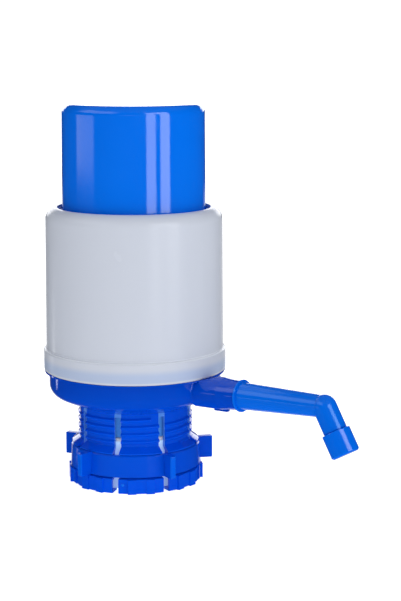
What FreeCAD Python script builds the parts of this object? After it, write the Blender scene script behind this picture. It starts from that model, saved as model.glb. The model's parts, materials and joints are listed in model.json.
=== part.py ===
"""Bottle hand pump: a push cap squeezes a bellows, air goes down into the bottle and water comes up.

Millimetres, +Z up. The origin is on the pump's axis at the foot of the neck collet, +X runs along the spout.
Every size in the sheet can be changed by itself; what seats on a piece takes its place from the same sizes.
"""
import FreeCAD, Part
import math
import os
import re
import Sketcher

UP = FreeCAD.Vector(0, 0, 1)

# name, size in millimetres (angles in degrees, counts plain), what it is
SIZES = [
    # bottle neck and collet
    ("neck_radius", 27.5, "outside of the bottle's neck"),
    ("neck_play", 0.5, "between neck and liner before the nut is tightened"),
    ("liner_wall", 3.7, "thickness of the liner round the neck"),
    ("liner_play", 0.3, "between liner and fingers"),
    ("liner_entry", 0.5, "chamfer at the liner's lower inner edge"),
    ("lip_height", 1.0, "floor of the flare, its lip carries the liner"),
    ("lip_reach", 0.8, "lip under the liner"),
    ("finger_wall", 2.0, "thickness of the fingers"),
    ("thread_depth", 1.0, "thread root to crest"),
    ("thread_pitch", 4.4, "rise in one turn"),
    ("thread_start", 26.4, "middle of the lowest ridge of the thread"),
    ("collet_height", 47.3, "finger tips to the underside of the base"),
    ("collet_land", 2.4, "solid ring above the slots"),
    ("slot_count", 8, "slots between the fingers"),
    ("slot_width", 3.8, "width of a slot"),
    ("flare_width", 6.2, "how far the flared tips stand out of the thread root"),
    ("flare_height", 9.6, "height of the flare"),
    ("tooth_depth", 0.8, "how far a tooth stands out of the flare"),
    ("tooth_width", 5.1, "width of a tooth"),
    ("tooth_angle", 7.85, "tooth centre from the finger's centre"),
    ("waist_step", 2.2, "fingers under the nut beyond the thread root"),
    ("cone_step", 2.4, "foot of the cone above the nut, beyond those"),
    ("cone_land", 0.8, "straight part at the cone's foot"),
    ("cone_height", 3.0, "height of the cone"),
    # ring nut
    ("nut_play", 0.3, "between nut and fingers, flare and cone"),
    ("nut_height", 13.2, "height of the nut"),
    ("nut_wall", 2.7, "wall of the nut at its top"),
    ("nut_draft", 0.55, "how much wider the nut's foot is"),
    ("nut_chamfer", 0.7, "bevel round the nut's top"),
    ("lug_count", 5, "lugs round the nut"),
    ("lug_reach", 8.8, "how far a lug stands out of the nut"),
    ("lug_thickness", 3.7, "thickness of a lug"),
    ("lug_height", 13.6, "height of a lug"),
    ("lug_round", 0.8, "rounding of a lug's outer edges"),
    ("lug_angle", 50.0, "first lug, counted from the spout"),
    # base
    ("bowl_radius", 52.2, "outside of the bowl's wall and rim"),
    ("bowl_wall", 2.4, "thickness of the wall"),
    ("bowl_floor", 2.6, "thickness of the floor"),
    ("bowl_round", 8.0, "rounding of the lower edge"),
    ("bowl_slope", 24.0, "rise of the underside beyond the collet, in degrees"),
    ("ledge_height", 21.5, "underside to the ledge that the casing stands on"),
    ("ledge_inset", 0.3, "ledge behind the face of the band"),
    ("ledge_thickness", 0.9, "thickness of that ledge"),
    ("rim_height", 11.7, "rim above the ledge, inside the casing"),
    ("bead_height", 0.55, "how far the snap bead stands out of the rim"),
    ("bead_lift", 6.0, "ledge to the middle of the bead"),
    ("bead_width", 2.0, "foot of the snap bead"),
    ("snap_play", 0.3, "between base and casing"),
    ("shelf_width", 2.0, "inner shelf under the deck"),
    ("shelf_lift", 1.0, "top of that shelf above the ledge"),
    ("shelf_depth", 3.0, "height of that shelf"),
    ("spigot_inset", 0.8, "spigot behind the outside of the liner"),
    ("spigot_wall", 2.6, "wall of the spigot"),
    ("spigot_depth", 15.2, "length of the spigot below the floor"),
    ("vent_count", 4, "air holes in the floor"),
    ("vent_radius", 2.5, "radius of an air hole"),
    ("vent_inset", 10.3, "inside of the spigot to an air hole's centre"),
    # gasket between spigot and liner
    ("gasket_height", 2.4, "thickness of the neck gasket"),
    ("gasket_bevel", 0.9, "bevel round its opening"),
    ("gasket_reach", 6.0, "gasket inside the neck"),
    ("soft_play", 0.2, "between a soft piece and its seat"),
    # spout and its socket
    ("duct_height", 12.05, "underside of the base to the duct's axis at the pump's axis"),
    ("spout_rise", 2.1, "rise of the arm, in degrees"),
    ("socket_length", 28.5, "socket beyond the bowl's wall"),
    ("socket_wall", 2.2, "wall of the socket at its mouth"),
    ("socket_swell", 1.0, "how much wider the socket is by the bowl"),
    ("socket_taper", 12.0, "length of the narrowing in front of the mouth"),
    ("socket_fillet", 1.0, "blend between socket and wall"),
    ("ramp_length", 9.0, "slope on top of the socket beside the casing's band"),
    ("ramp_rise", 2.5, "rise of that slope"),
    ("socket_bore", 6.4, "inside of the socket"),
    ("socket_inset", 8.5, "socket inside the wall"),
    ("boss_wall", 1.8, "wall of the socket inside the bowl"),
    ("key_length", 9.5, "index rib under the socket"),
    ("key_width", 2.6, "width of that rib"),
    ("key_depth", 1.0, "how far that rib stands out"),
    ("fit_play", 0.05, "radial play of a running fit"),
    ("edge_break", 0.3, "small bevel on outer edges of the spout's pieces"),
    ("plug_length", 22.0, "spout inside the socket"),
    ("flange_reach", 0.9, "flange of the spout beyond the socket's mouth"),
    ("flange_thickness", 1.2, "thickness of the flange"),
    ("flange_gap", 0.2, "flange to the socket's mouth"),
    ("arm_length", 56.4, "flange to the bend"),
    ("arm_root", 7.9, "outside of the arm at the flange"),
    ("arm_end", 6.3, "outside of the arm at the bend"),
    ("spout_wall", 1.7, "wall of the arm and the leg"),
    ("plug_bore", 3.9, "bore through the plug"),
    ("leg_angle", 30.1, "leg from the vertical, in degrees"),
    ("leg_swell", 0.6, "how much thicker the leg is than the arm's end"),
    ("leg_length", 14.9, "bend to the dust cap's stop"),
    ("tip_step", 0.4, "stop for the dust cap on the leg"),
    ("tip_length", 13.0, "length of the tip"),
    ("hood_wall", 1.75, "wall of the dust cap"),
    ("hood_gap", 0.2, "dust cap to its stop, and tip to its floor"),
    ("hood_floor", 1.2, "thickness of its floor"),
    ("ring_thickness", 1.6, "section of the spout's and the elbow's O-rings"),
    # nipple and elbow
    ("nipple_radius", 6.0, "stub that the suction tube pushes over"),
    ("nipple_shoulder", 1.2, "shoulder that stops the tube"),
    ("nipple_lead", 0.8, "bevel at the stub's end"),
    ("nipple_length", 15.8, "stub below the floor"),
    ("nipple_bore", 4.0, "water way"),
    ("nipple_brim", 1.6, "flange on the floor beyond the hub"),
    ("nipple_seat", 1.2, "thickness of that flange"),
    ("nipple_collar", 2.2, "collar that the elbow sits on"),
    ("hub_wall", 3.4, "wall of the elbow's hub"),
    ("hub_top", 6.2, "duct axis to the top of the hub"),
    ("elbow_radius", 6.0, "outside of the elbow's duct"),
    ("elbow_spigot", 9.0, "elbow inside the socket"),
    # deck, its seal and its screws
    ("deck_thickness", 3.0, "thickness of the deck"),
    ("deck_play", 0.15, "deck to the bowl's wall"),
    ("seal_thickness", 1.5, "section of the deck's O-ring"),
    ("rib_height", 1.8, "ribs under the deck"),
    ("rib_thickness", 2.0, "thickness of those ribs"),
    ("screw_count", 6, "screws through clamp ring and deck"),
    ("screw_inset", 4.6, "inside of the bowl to a screw's axis"),
    ("screw_radius", 1.5, "shank of a screw"),
    ("screw_head", 2.8, "head of a screw"),
    ("screw_head_height", 1.8, "height of the head"),
    ("screw_length", 14.0, "length under the head"),
    ("post_radius", 3.4, "screw post in the bowl"),
    ("clamp_thickness", 2.4, "thickness of the clamp ring"),
    ("clamp_reach", 1.3, "bellows neck to the clamp ring"),
    ("clamp_edge", 1.2, "clamp ring to the bowl's wall"),
    # valves
    ("valve_inset", 5.6, "bellows' inside to the check valve's axis"),
    ("valve_hole", 2.6, "hole under a valve disc"),
    ("disc_radius", 4.4, "radius of a valve disc"),
    ("disc_thickness", 1.2, "thickness of a valve disc"),
    ("disc_play", 0.05, "disc above its cage at rest"),
    ("valve_lift", 1.5, "travel of a disc up to its seat"),
    ("cage_gap", 0.9, "valve disc to its cage"),
    ("cage_wall", 1.2, "wall and floor of a cage"),
    ("cage_slot", 2.2, "width of a slot in a cage"),
    ("collar_wall", 1.3, "wall of the collar round a cage"),
    ("collar_height", 1.6, "height of that collar"),
    # bellows, spring and bellows head
    ("pleat_count", 10, "pleats of the bellows"),
    ("pleat_gap", 2.8, "pleats to the inside of the push cap"),
    ("pleat_depth", 9.5, "depth of a pleat"),
    ("bellows_wall", 1.2, "thickness of the bellows"),
    ("neck_step", 1.6, "neck outside the inner folds"),
    ("neck_length", 6.0, "length of each neck"),
    ("foot_margin", 1.15, "bellows' foot to the screws"),
    ("foot_thickness", 2.0, "thickness of the foot"),
    ("head_brim", 3.2, "bellows head beyond the bellows' neck"),
    ("head_thickness", 3.0, "thickness of the head"),
    ("head_wall", 2.2, "wall of the head's spigot"),
    ("spring_radius", 16.0, "mean radius of the spring"),
    ("wire_radius", 0.9, "radius of the wire"),
    ("coil_count", 9, "coils of the spring"),
    ("seat_wall", 1.6, "wall of the ring round the spring's end"),
    ("seat_height", 2.5, "height of that ring"),
    # casing
    ("casing_height", 98.4, "ledge to the top of the casing"),
    ("band_wall", 2.7, "thickness of the band round the base's rim"),
    ("band_step", 1.5, "band beyond the casing's wall"),
    ("casing_draft", 0.6, "how much narrower the shoulder is"),
    ("casing_wall", 1.8, "thickness of the casing"),
    ("casing_round", 7.0, "rounding of the shoulder"),
    ("shoulder_width", 7.7, "outside of the casing to its opening"),
    ("band_height", 13.2, "height of the band"),
    ("band_round", 1.2, "rounding of the band's edges"),
    # push cap
    ("cap_rise", 61.3, "cap above the casing"),
    ("opening_gap", 3.0, "push cap to the opening's edge"),
    ("cap_draft", 0.5, "how much narrower the cap's top is"),
    ("cap_wall", 2.2, "wall of the cap"),
    ("cap_top", 2.6, "thickness of its top"),
    ("cap_round", 5.3, "rounding of its top edge"),
    ("skirt_play", 0.35, "cap's skirt to the inside of the casing"),
    ("skirt_height", 13.0, "height of the skirt"),
    ("skirt_wall", 2.0, "thickness of the skirt"),
    ("cap_ribs", 6, "ribs under the cap's top"),
    ("cap_rib_gap", 0.1, "ribs to the bellows head"),
    ("cap_rib_height", 2.8, "height of those ribs"),
]

# Heights and lengths worked out from the sheet, as expressions.
BASE = "collet_height"
FLOOR = f"({BASE} + bowl_floor)"
LEDGE = f"({BASE} + ledge_height)"
RIM = f"({LEDGE} + rim_height)"
SHELF = f"({LEDGE} + shelf_lift)"
DECK = f"({SHELF} + deck_thickness)"
FOOT = f"({DECK} + soft_play)"
CLAMP = f"({FOOT} + foot_thickness + soft_play)"
CLAMP_TOP = f"({CLAMP} + clamp_thickness)"
CASING_TOP = f"({LEDGE} + casing_height)"
CAP_TOP = f"({CASING_TOP} + cap_rise)"
CAP_CEILING = f"({CAP_TOP} - cap_top)"
HEAD_TOP = f"({CAP_CEILING} - cap_rib_height - cap_rib_gap)"
HEAD = f"({HEAD_TOP} - head_thickness)"
SPIGOT_END = f"({BASE} - spigot_depth)"
DUCT = f"({BASE} + duct_height)"
BOWL_INSIDE = "(bowl_radius - bowl_wall)"
RIM_LIP = "(bowl_radius + snap_play)"
BAND = f"({RIM_LIP} + band_wall)"
CASING_RADIUS = f"({BAND} - band_step)"
OPENING = f"({CASING_RADIUS} - shoulder_width)"
CAP_RADIUS = f"({OPENING} - opening_gap)"
PLEAT = f"({CAP_RADIUS} - cap_wall - pleat_gap)"
PLEAT_INSIDE = f"({PLEAT} - pleat_depth)"
BELLOWS_NECK = f"({PLEAT_INSIDE} + neck_step)"
SCREWS = f"({BOWL_INSIDE} - screw_inset)"
BELLOWS_FOOT = f"({SCREWS} - screw_radius - deck_play - foot_margin)"
HEAD_RADIUS = f"({BELLOWS_NECK} + bellows_wall + head_brim)"
CHECK_VALVE = f"({BELLOWS_NECK} - valve_inset)"
CAGE = "(disc_radius + cage_gap + cage_wall)"
HUB = "(nipple_radius + hub_wall)"
GRIP = "(neck_radius + neck_play)"
LINER = f"({GRIP} + liner_wall)"
FINGER_BORE = f"({LINER} + liner_play)"
THREAD_ROOT = f"({FINGER_BORE} + finger_wall)"
FLARE = f"({THREAD_ROOT} + flare_width)"
SPIGOT = f"({LINER} - spigot_inset)"
GASKET = f"({SPIGOT_END} - soft_play)"
CREST = f"({THREAD_ROOT} + thread_depth)"
WAIST = f"({THREAD_ROOT} + waist_step)"
CONE = f"({WAIST} + cone_step)"
NUT_BORE = f"({WAIST} + nut_play)"
NUT_RADIUS = f"({NUT_BORE} + nut_wall)"
NUT_FOOT = "(flare_height + nut_play)"
NUT_TOP = f"({NUT_FOOT} + nut_height)"
CONE_FOOT = f"({NUT_TOP} + nut_play)"
BOWL_EDGE = f"({BASE} + (bowl_radius - {CREST}) * tan(bowl_slope))"
SOCKET_MOUTH = "(bowl_radius + socket_length)"
SOCKET_INNER = "(bowl_radius - socket_inset)"
SOCKET_WALL = "(socket_bore + socket_wall)"
SOCKET_ROOT = f"({SOCKET_WALL} + socket_swell)"
PLUG = "(socket_bore - fit_play)"
FLANGE_RADIUS = f"({SOCKET_WALL} + flange_reach)"
LEG = "(arm_end + leg_swell)"
TIP = f"({LEG} - tip_step)"
HOOD = f"({TIP} + fit_play + hood_wall)"
FLANGE = f"({SOCKET_MOUTH} + flange_gap)"
ARM = f"({FLANGE} + flange_thickness)"
BEND = f"({ARM} + arm_length)"
TIP_END = "(leg_length + tip_length)"

doc = FreeCAD.newDocument("bottle_hand_pump")
sheet = doc.addObject("Spreadsheet::Sheet", "Sizes")
for row, (name, amount, meaning) in enumerate(SIZES, start=1):
    sheet.set(f"A{row}", meaning)
    sheet.set(f"B{row}", str(amount))
    sheet.setAlias(f"B{row}", name)
doc.recompute()

nodes = []


def expression(text):
    """Point every size name in text at the sheet."""
    return re.sub(r"[a-z]+(?:_[a-z]+)+", lambda found: "Sizes." + found.group(0), str(text))


def value(text):
    """Number that an expression of sizes gives."""
    found = sheet.evalExpression(re.sub(r"Sizes\.", "", expression(text)))
    return float(getattr(found, "Value", found))


def bind(thing, prop, text):
    """Tie a property of a document object to sizes in the sheet."""
    thing.setExpression(prop, expression(text))


def new_body(name):
    """PartDesign body of one node."""
    body = doc.addObject("PartDesign::Body", name)
    body.Label = name
    nodes.append(body)
    return body


def new_sketch(body, name, plane="XZ_Plane", at=(0, 0, 0), turn=0):
    """Sketch on an origin plane of its body, moved by at in the plane's own axes and turned in the plane."""
    sketch = body.newObject("Sketcher::SketchObject", f"{body.Label}_{name}")
    origin_plane = next(item for item in body.Origin.OriginFeatures if item.Role == plane)
    sketch.AttachmentSupport = (origin_plane, [""])
    sketch.MapMode = "FlatFace"
    sketch.AttachmentOffset = FreeCAD.Placement(FreeCAD.Vector(0, 0, 0), FreeCAD.Rotation(UP, 1))
    for axis, text in zip("xyz", at):
        bind(sketch, f"AttachmentOffset.Base.{axis}", text)
    bind(sketch, "AttachmentOffset.Rotation.Angle", turn)
    return sketch


def outline(sketch, corners):
    """Closed outline through corners, each an (x, y) pair of expressions that holds its point in place."""
    points = [FreeCAD.Vector(value(x), value(y), 0) for x, y in corners]
    first = sketch.GeometryCount
    count = len(points)
    for i, point in enumerate(points):
        sketch.addGeometry(Part.LineSegment(point, points[(i + 1) % count]))
    for i in range(count):
        sketch.addConstraint(Sketcher.Constraint("Coincident", first + i, 2, first + (i + 1) % count, 1))
    for i, corner in enumerate(corners):
        for kind, text, number in zip(("DistanceX", "DistanceY"), corner, (points[i].x, points[i].y)):
            index = sketch.addConstraint(Sketcher.Constraint(kind, -1, 1, first + i, 1, number))
            label = f"{kind}_{first + i}"
            sketch.renameConstraint(index, label)
            bind(sketch, f"Constraints.{label}", text)
    return sketch


def circle(sketch, x, y, radius):
    """Circle at (x, y), all three given as expressions."""
    centre = FreeCAD.Vector(value(x), value(y), 0)
    index = sketch.addGeometry(Part.Circle(centre, UP, value(radius)))
    places = (("DistanceX", x, centre.x), ("DistanceY", y, centre.y))
    for kind, text, number in places:
        constraint = sketch.addConstraint(Sketcher.Constraint(kind, -1, 1, index, 3, number))
        sketch.renameConstraint(constraint, f"{kind}_{index}")
        bind(sketch, f"Constraints.{kind}_{index}", text)
    constraint = sketch.addConstraint(Sketcher.Constraint("Radius", index, value(radius)))
    sketch.renameConstraint(constraint, f"Radius_{index}")
    bind(sketch, f"Constraints.Radius_{index}", radius)
    return sketch


def half_disc(sketch, radius):
    """Half disc above the sketch's horizontal axis, for a ball round the sketch's origin."""
    size = value(radius)
    arc = sketch.addGeometry(Part.ArcOfCircle(Part.Circle(FreeCAD.Vector(), UP, size), 0, math.pi))
    line = sketch.addGeometry(Part.LineSegment(FreeCAD.Vector(-size, 0, 0), FreeCAD.Vector(size, 0, 0)))
    sketch.addConstraint(Sketcher.Constraint("Coincident", arc, 3, -1, 1))
    sketch.addConstraint(Sketcher.Constraint("Coincident", arc, 1, line, 2))
    sketch.addConstraint(Sketcher.Constraint("Coincident", arc, 2, line, 1))
    sketch.addConstraint(Sketcher.Constraint("PointOnObject", arc, 1, -1))
    sketch.addConstraint(Sketcher.Constraint("PointOnObject", arc, 2, -1))
    constraint = sketch.addConstraint(Sketcher.Constraint("Radius", arc, size))
    sketch.renameConstraint(constraint, "ball")
    bind(sketch, "Constraints.ball", radius)
    return sketch


def feature(body, kind, name, sketch):
    """Sketch-based feature of a body, with its sketch set."""
    made = body.newObject(f"PartDesign::{kind}", f"{body.Label}_{name}")
    made.Profile = sketch
    return made


def checked(body, made, before, adds):
    """Recompute, and stop if a feature changed its body the wrong way or not at all."""
    doc.recompute()
    after = made.Shape.Volume
    if (after - before) * (1 if adds else -1) <= 0:
        raise RuntimeError(f"{made.Name} changed {body.Label} from {before:.1f} to {after:.1f}")
    return made


def volume(body):
    """Volume of a body so far, 0 before its first feature."""
    return body.Shape.Volume if body.Tip and not body.Shape.isNull() else 0.0


def revolve(body, name, sketch, axis="V_Axis", cut=False):
    """Turn a sketch round one of its own axes, as added or removed material."""
    before = volume(body)
    made = feature(body, "Groove" if cut else "Revolution", name, sketch)
    made.ReferenceAxis = (sketch, [axis])
    made.Angle = 360
    return checked(body, made, before, not cut)


def extrude(body, name, sketch, length, cut=False, reverse=False):
    """Pad or pocket a sketch by a length, along its normal for both unless reversed."""
    before = volume(body)
    made = feature(body, "Pocket" if cut else "Pad", name, sketch)
    bind(made, "Length", length)
    made.Reversed = cut != reverse
    return checked(body, made, before, not cut)


def round_pattern(body, name, originals, count, adds=True):
    """Repeat features evenly round the Z axis."""
    before = volume(body)
    made = body.newObject("PartDesign::PolarPattern", f"{body.Label}_{name}")
    made.Originals = originals
    made.Axis = (next(item for item in body.Origin.OriginFeatures if item.Role == "Z_Axis"), [""])
    made.Angle = 360
    bind(made, "Occurrences", count)
    body.Tip = made
    return checked(body, made, before, adds)


def ring_edges(shape, radius, height):
    """Names of the circular edges about the Z axis at a radius and a height."""
    wanted = []
    for index, edge in enumerate(shape.Edges, start=1):
        box = edge.BoundBox
        flat = box.ZLength < 1e-4 and abs(box.ZMin - value(height)) < 1e-3
        curved = isinstance(edge.Curve, Part.Circle) and abs(edge.Curve.Radius - value(radius)) < 1e-3
        if flat and curved and math.hypot(edge.Curve.Center.x, edge.Curve.Center.y) < 1e-3:
            wanted.append(f"Edge{index}")
    if not wanted:
        raise RuntimeError(f"no ring edge at radius {value(radius):.2f}, height {value(height):.2f}")
    return wanted


def blend(body, name, edges, radius, kind="Fillet"):
    """Fillet or chamfer the named edges of the body's last feature."""
    made = body.newObject(f"PartDesign::{kind}", f"{body.Label}_{name}")
    made.Base = (body.Tip if body.Tip != made else made.BaseFeature, edges)
    bind(made, "Radius" if kind == "Fillet" else "Size", radius)
    doc.recompute()
    return made


def round_ring(body, name, radius, height, size):
    """Fillet the circular edge at a radius and a height."""
    return blend(body, name, ring_edges(body.Shape, radius, height), size)


def torus(name, ring, section, at, tilt=0):
    """O-ring: mean radius, section radius, place as expressions, axis tilted from Z towards X in degrees."""
    made = doc.addObject("Part::Torus", name)
    made.Label = name
    bind(made, "Radius1", ring)
    bind(made, "Radius2", section)
    made.Placement = FreeCAD.Placement(FreeCAD.Vector(), FreeCAD.Rotation(FreeCAD.Vector(0, 1, 0), 1))
    for axis, text in zip("xyz", at):
        bind(made, f"Placement.Base.{axis}", text)
    bind(made, "Placement.Rotation.Angle", tilt)
    nodes.append(made)
    return made


def along_arm(distance):
    """X and Z of a point on the arm's axis, as expressions."""
    return f"{distance} * cos(spout_rise)", f"{DUCT} + {distance} * sin(spout_rise)"


def arm_sketch(body, name):
    """Sketch whose horizontal axis is the arm's axis, starting at the pump's axis."""
    return new_sketch(body, name, at=(0, DUCT, 0), turn="spout_rise")


def leg_sketch(body, name):
    """Sketch whose horizontal axis runs down the leg, starting at the bend."""
    x, z = along_arm(BEND)
    return new_sketch(body, name, at=(x, z, 0), turn="leg_angle - 90")


def make_neck_collet():
    """Threaded sleeve split into fingers, with a cone above the nut, toothed tips and a lip for the liner."""
    body = new_body("neck_collet")
    edge = "tooth_depth"
    land_under = f"{BASE} - collet_land"
    cone_top = f"{CONE_FOOT} + cone_land + cone_height"
    corners = [
        (f"{LINER} - lip_reach", 0),
        (f"{FLARE} - {edge}", 0),
        (FLARE, edge),
        (FLARE, f"flare_height - {edge}"),
        (f"{WAIST} + {edge}", "flare_height"),
        (WAIST, f"flare_height + {edge}"),
        (WAIST, CONE_FOOT),
        (CONE, CONE_FOOT),
        (CONE, f"{CONE_FOOT} + cone_land"),
        (THREAD_ROOT, cone_top),
        (THREAD_ROOT, BASE),
        (f"{SPIGOT} + soft_play", BASE),
        (f"{SPIGOT} + soft_play", land_under),
        (FINGER_BORE, land_under),
        (FINGER_BORE, f"{cone_top} - finger_wall / 2"),
        (f"{WAIST} - finger_wall", f"{CONE_FOOT} + cone_land"),
        (f"{WAIST} - finger_wall", "flare_height - finger_wall / 2"),
        (f"{FLARE} - finger_wall", "flare_height - finger_wall"),
        (f"{FLARE} - finger_wall", "lip_height"),
        (f"{LINER} - lip_reach", "lip_height"),
    ]
    revolve(body, "sleeve", outline(new_sketch(body, "sleeve_outline"), corners))

    ridge = new_sketch(body, "ridge_outline")
    half = "thread_pitch * 0.3"
    tip = "thread_pitch * 0.08"
    outline(ridge, [
        (f"{THREAD_ROOT} - thread_depth * 0.4", f"thread_start - {half}"),
        (THREAD_ROOT, f"thread_start - {half}"),
        (CREST, f"thread_start - {tip}"),
        (CREST, f"thread_start + {tip}"),
        (THREAD_ROOT, f"thread_start + {half}"),
        (f"{THREAD_ROOT} - thread_depth * 0.4", f"thread_start + {half}"),
    ])
    before = volume(body)
    thread = feature(body, "AdditiveHelix", "thread", ridge)
    thread.ReferenceAxis = (ridge, ["V_Axis"])
    thread.Mode = "pitch-height-angle"
    bind(thread, "Pitch", "thread_pitch")
    bind(thread, "Height", f"{land_under} - thread_start - {half}")
    checked(body, thread, before, True)

    teeth = new_sketch(body, "tooth_outline", "XY_Plane")
    for side in (1, -1):
        middle = f"{side} * {FLARE} * sin(tooth_angle)"
        inner = f"{FLARE} * cos(tooth_angle) - 2 * {edge}"
        outer = f"({FLARE} + tooth_depth) * cos(tooth_angle)"
        outline(teeth, [
            (inner, f"{middle} - tooth_width / 2"),
            (outer, f"{middle} - tooth_width / 2"),
            (outer, f"{middle} + tooth_width / 2"),
            (inner, f"{middle} + tooth_width / 2"),
        ])
    pair = extrude(body, "teeth", teeth, f"flare_height - {edge}")
    round_pattern(body, "teeth_round", [pair], "slot_count")

    slot = new_sketch(body, "slot_outline", "XY_Plane", turn="180 / slot_count")
    outline(slot, [
        ("neck_radius / 2", "-slot_width / 2"),
        (f"{FLARE} + 4 * tooth_depth", "-slot_width / 2"),
        (f"{FLARE} + 4 * tooth_depth", "slot_width / 2"),
        ("neck_radius / 2", "slot_width / 2"),
    ])
    gap = extrude(body, "slot", slot, land_under, cut=True)
    round_pattern(body, "slots", [gap], "slot_count", adds=False)


def lug_edges(shape):
    """Names of the edges round the outer face of every lug."""
    reach = value(f"{NUT_RADIUS} + lug_reach") - 0.1
    wanted = []
    for index, edge in enumerate(shape.Edges, start=1):
        if all(math.hypot(corner.X, corner.Y) > reach for corner in edge.Vertexes):
            wanted.append(f"Edge{index}")
    return wanted


def make_ring_nut():
    """Nut round the fingers that squeezes them as it climbs their cone, turned by radial lugs."""
    body = new_body("ring_nut")
    lead = "2 * tooth_depth"
    corners = [
        (f"{NUT_BORE} + {lead}", NUT_FOOT),
        (f"{NUT_RADIUS} + nut_draft", NUT_FOOT),
        (NUT_RADIUS, f"{NUT_TOP} - nut_chamfer"),
        (f"{NUT_RADIUS} - nut_chamfer", NUT_TOP),
        (NUT_BORE, NUT_TOP),
        (NUT_BORE, f"{NUT_FOOT} + {lead}"),
    ]
    revolve(body, "ring", outline(new_sketch(body, "ring_outline"), corners))
    lug = new_sketch(body, "lug_outline", "XY_Plane", at=(0, 0, NUT_FOOT), turn="lug_angle")
    outline(lug, [
        (f"{CONE} + nut_play", "-lug_thickness / 2"),
        (f"({NUT_RADIUS} + lug_reach)", "-lug_thickness / 2"),
        (f"({NUT_RADIUS} + lug_reach)", "lug_thickness / 2"),
        (f"{CONE} + nut_play", "lug_thickness / 2"),
    ])
    plate = extrude(body, "lug", lug, "lug_height")
    round_pattern(body, "lugs", [plate], "lug_count")
    blend(body, "lug_rounds", lug_edges(body.Shape), "lug_round")


def socket_line(shape):
    """Names of the edges where the socket's outside meets the bowl's wall and rounded lower edge."""
    rise = math.radians(value("spout_rise"))
    along = FreeCAD.Vector(math.cos(rise), 0, math.sin(rise))
    start = FreeCAD.Vector(0, 0, value(DUCT))
    wall = value("bowl_radius")
    inside = value(f"{BOWL_INSIDE} - 0.9")
    root = value(SOCKET_ROOT)
    wanted = []
    for index, edge in enumerate(shape.Edges, start=1):
        span = edge.LastParameter - edge.FirstParameter
        points = [edge.valueAt(edge.FirstParameter + span * step / 6) for step in range(7)]
        on_wall = all(inside < point.x and math.hypot(point.x, point.y) < wall + 0.1 for point in points)
        on_socket = all(abs((point - start).cross(along).Length - root) < 0.02 for point in points)
        if on_wall and on_socket:
            wanted.append(f"Edge{index}")
    return wanted


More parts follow.
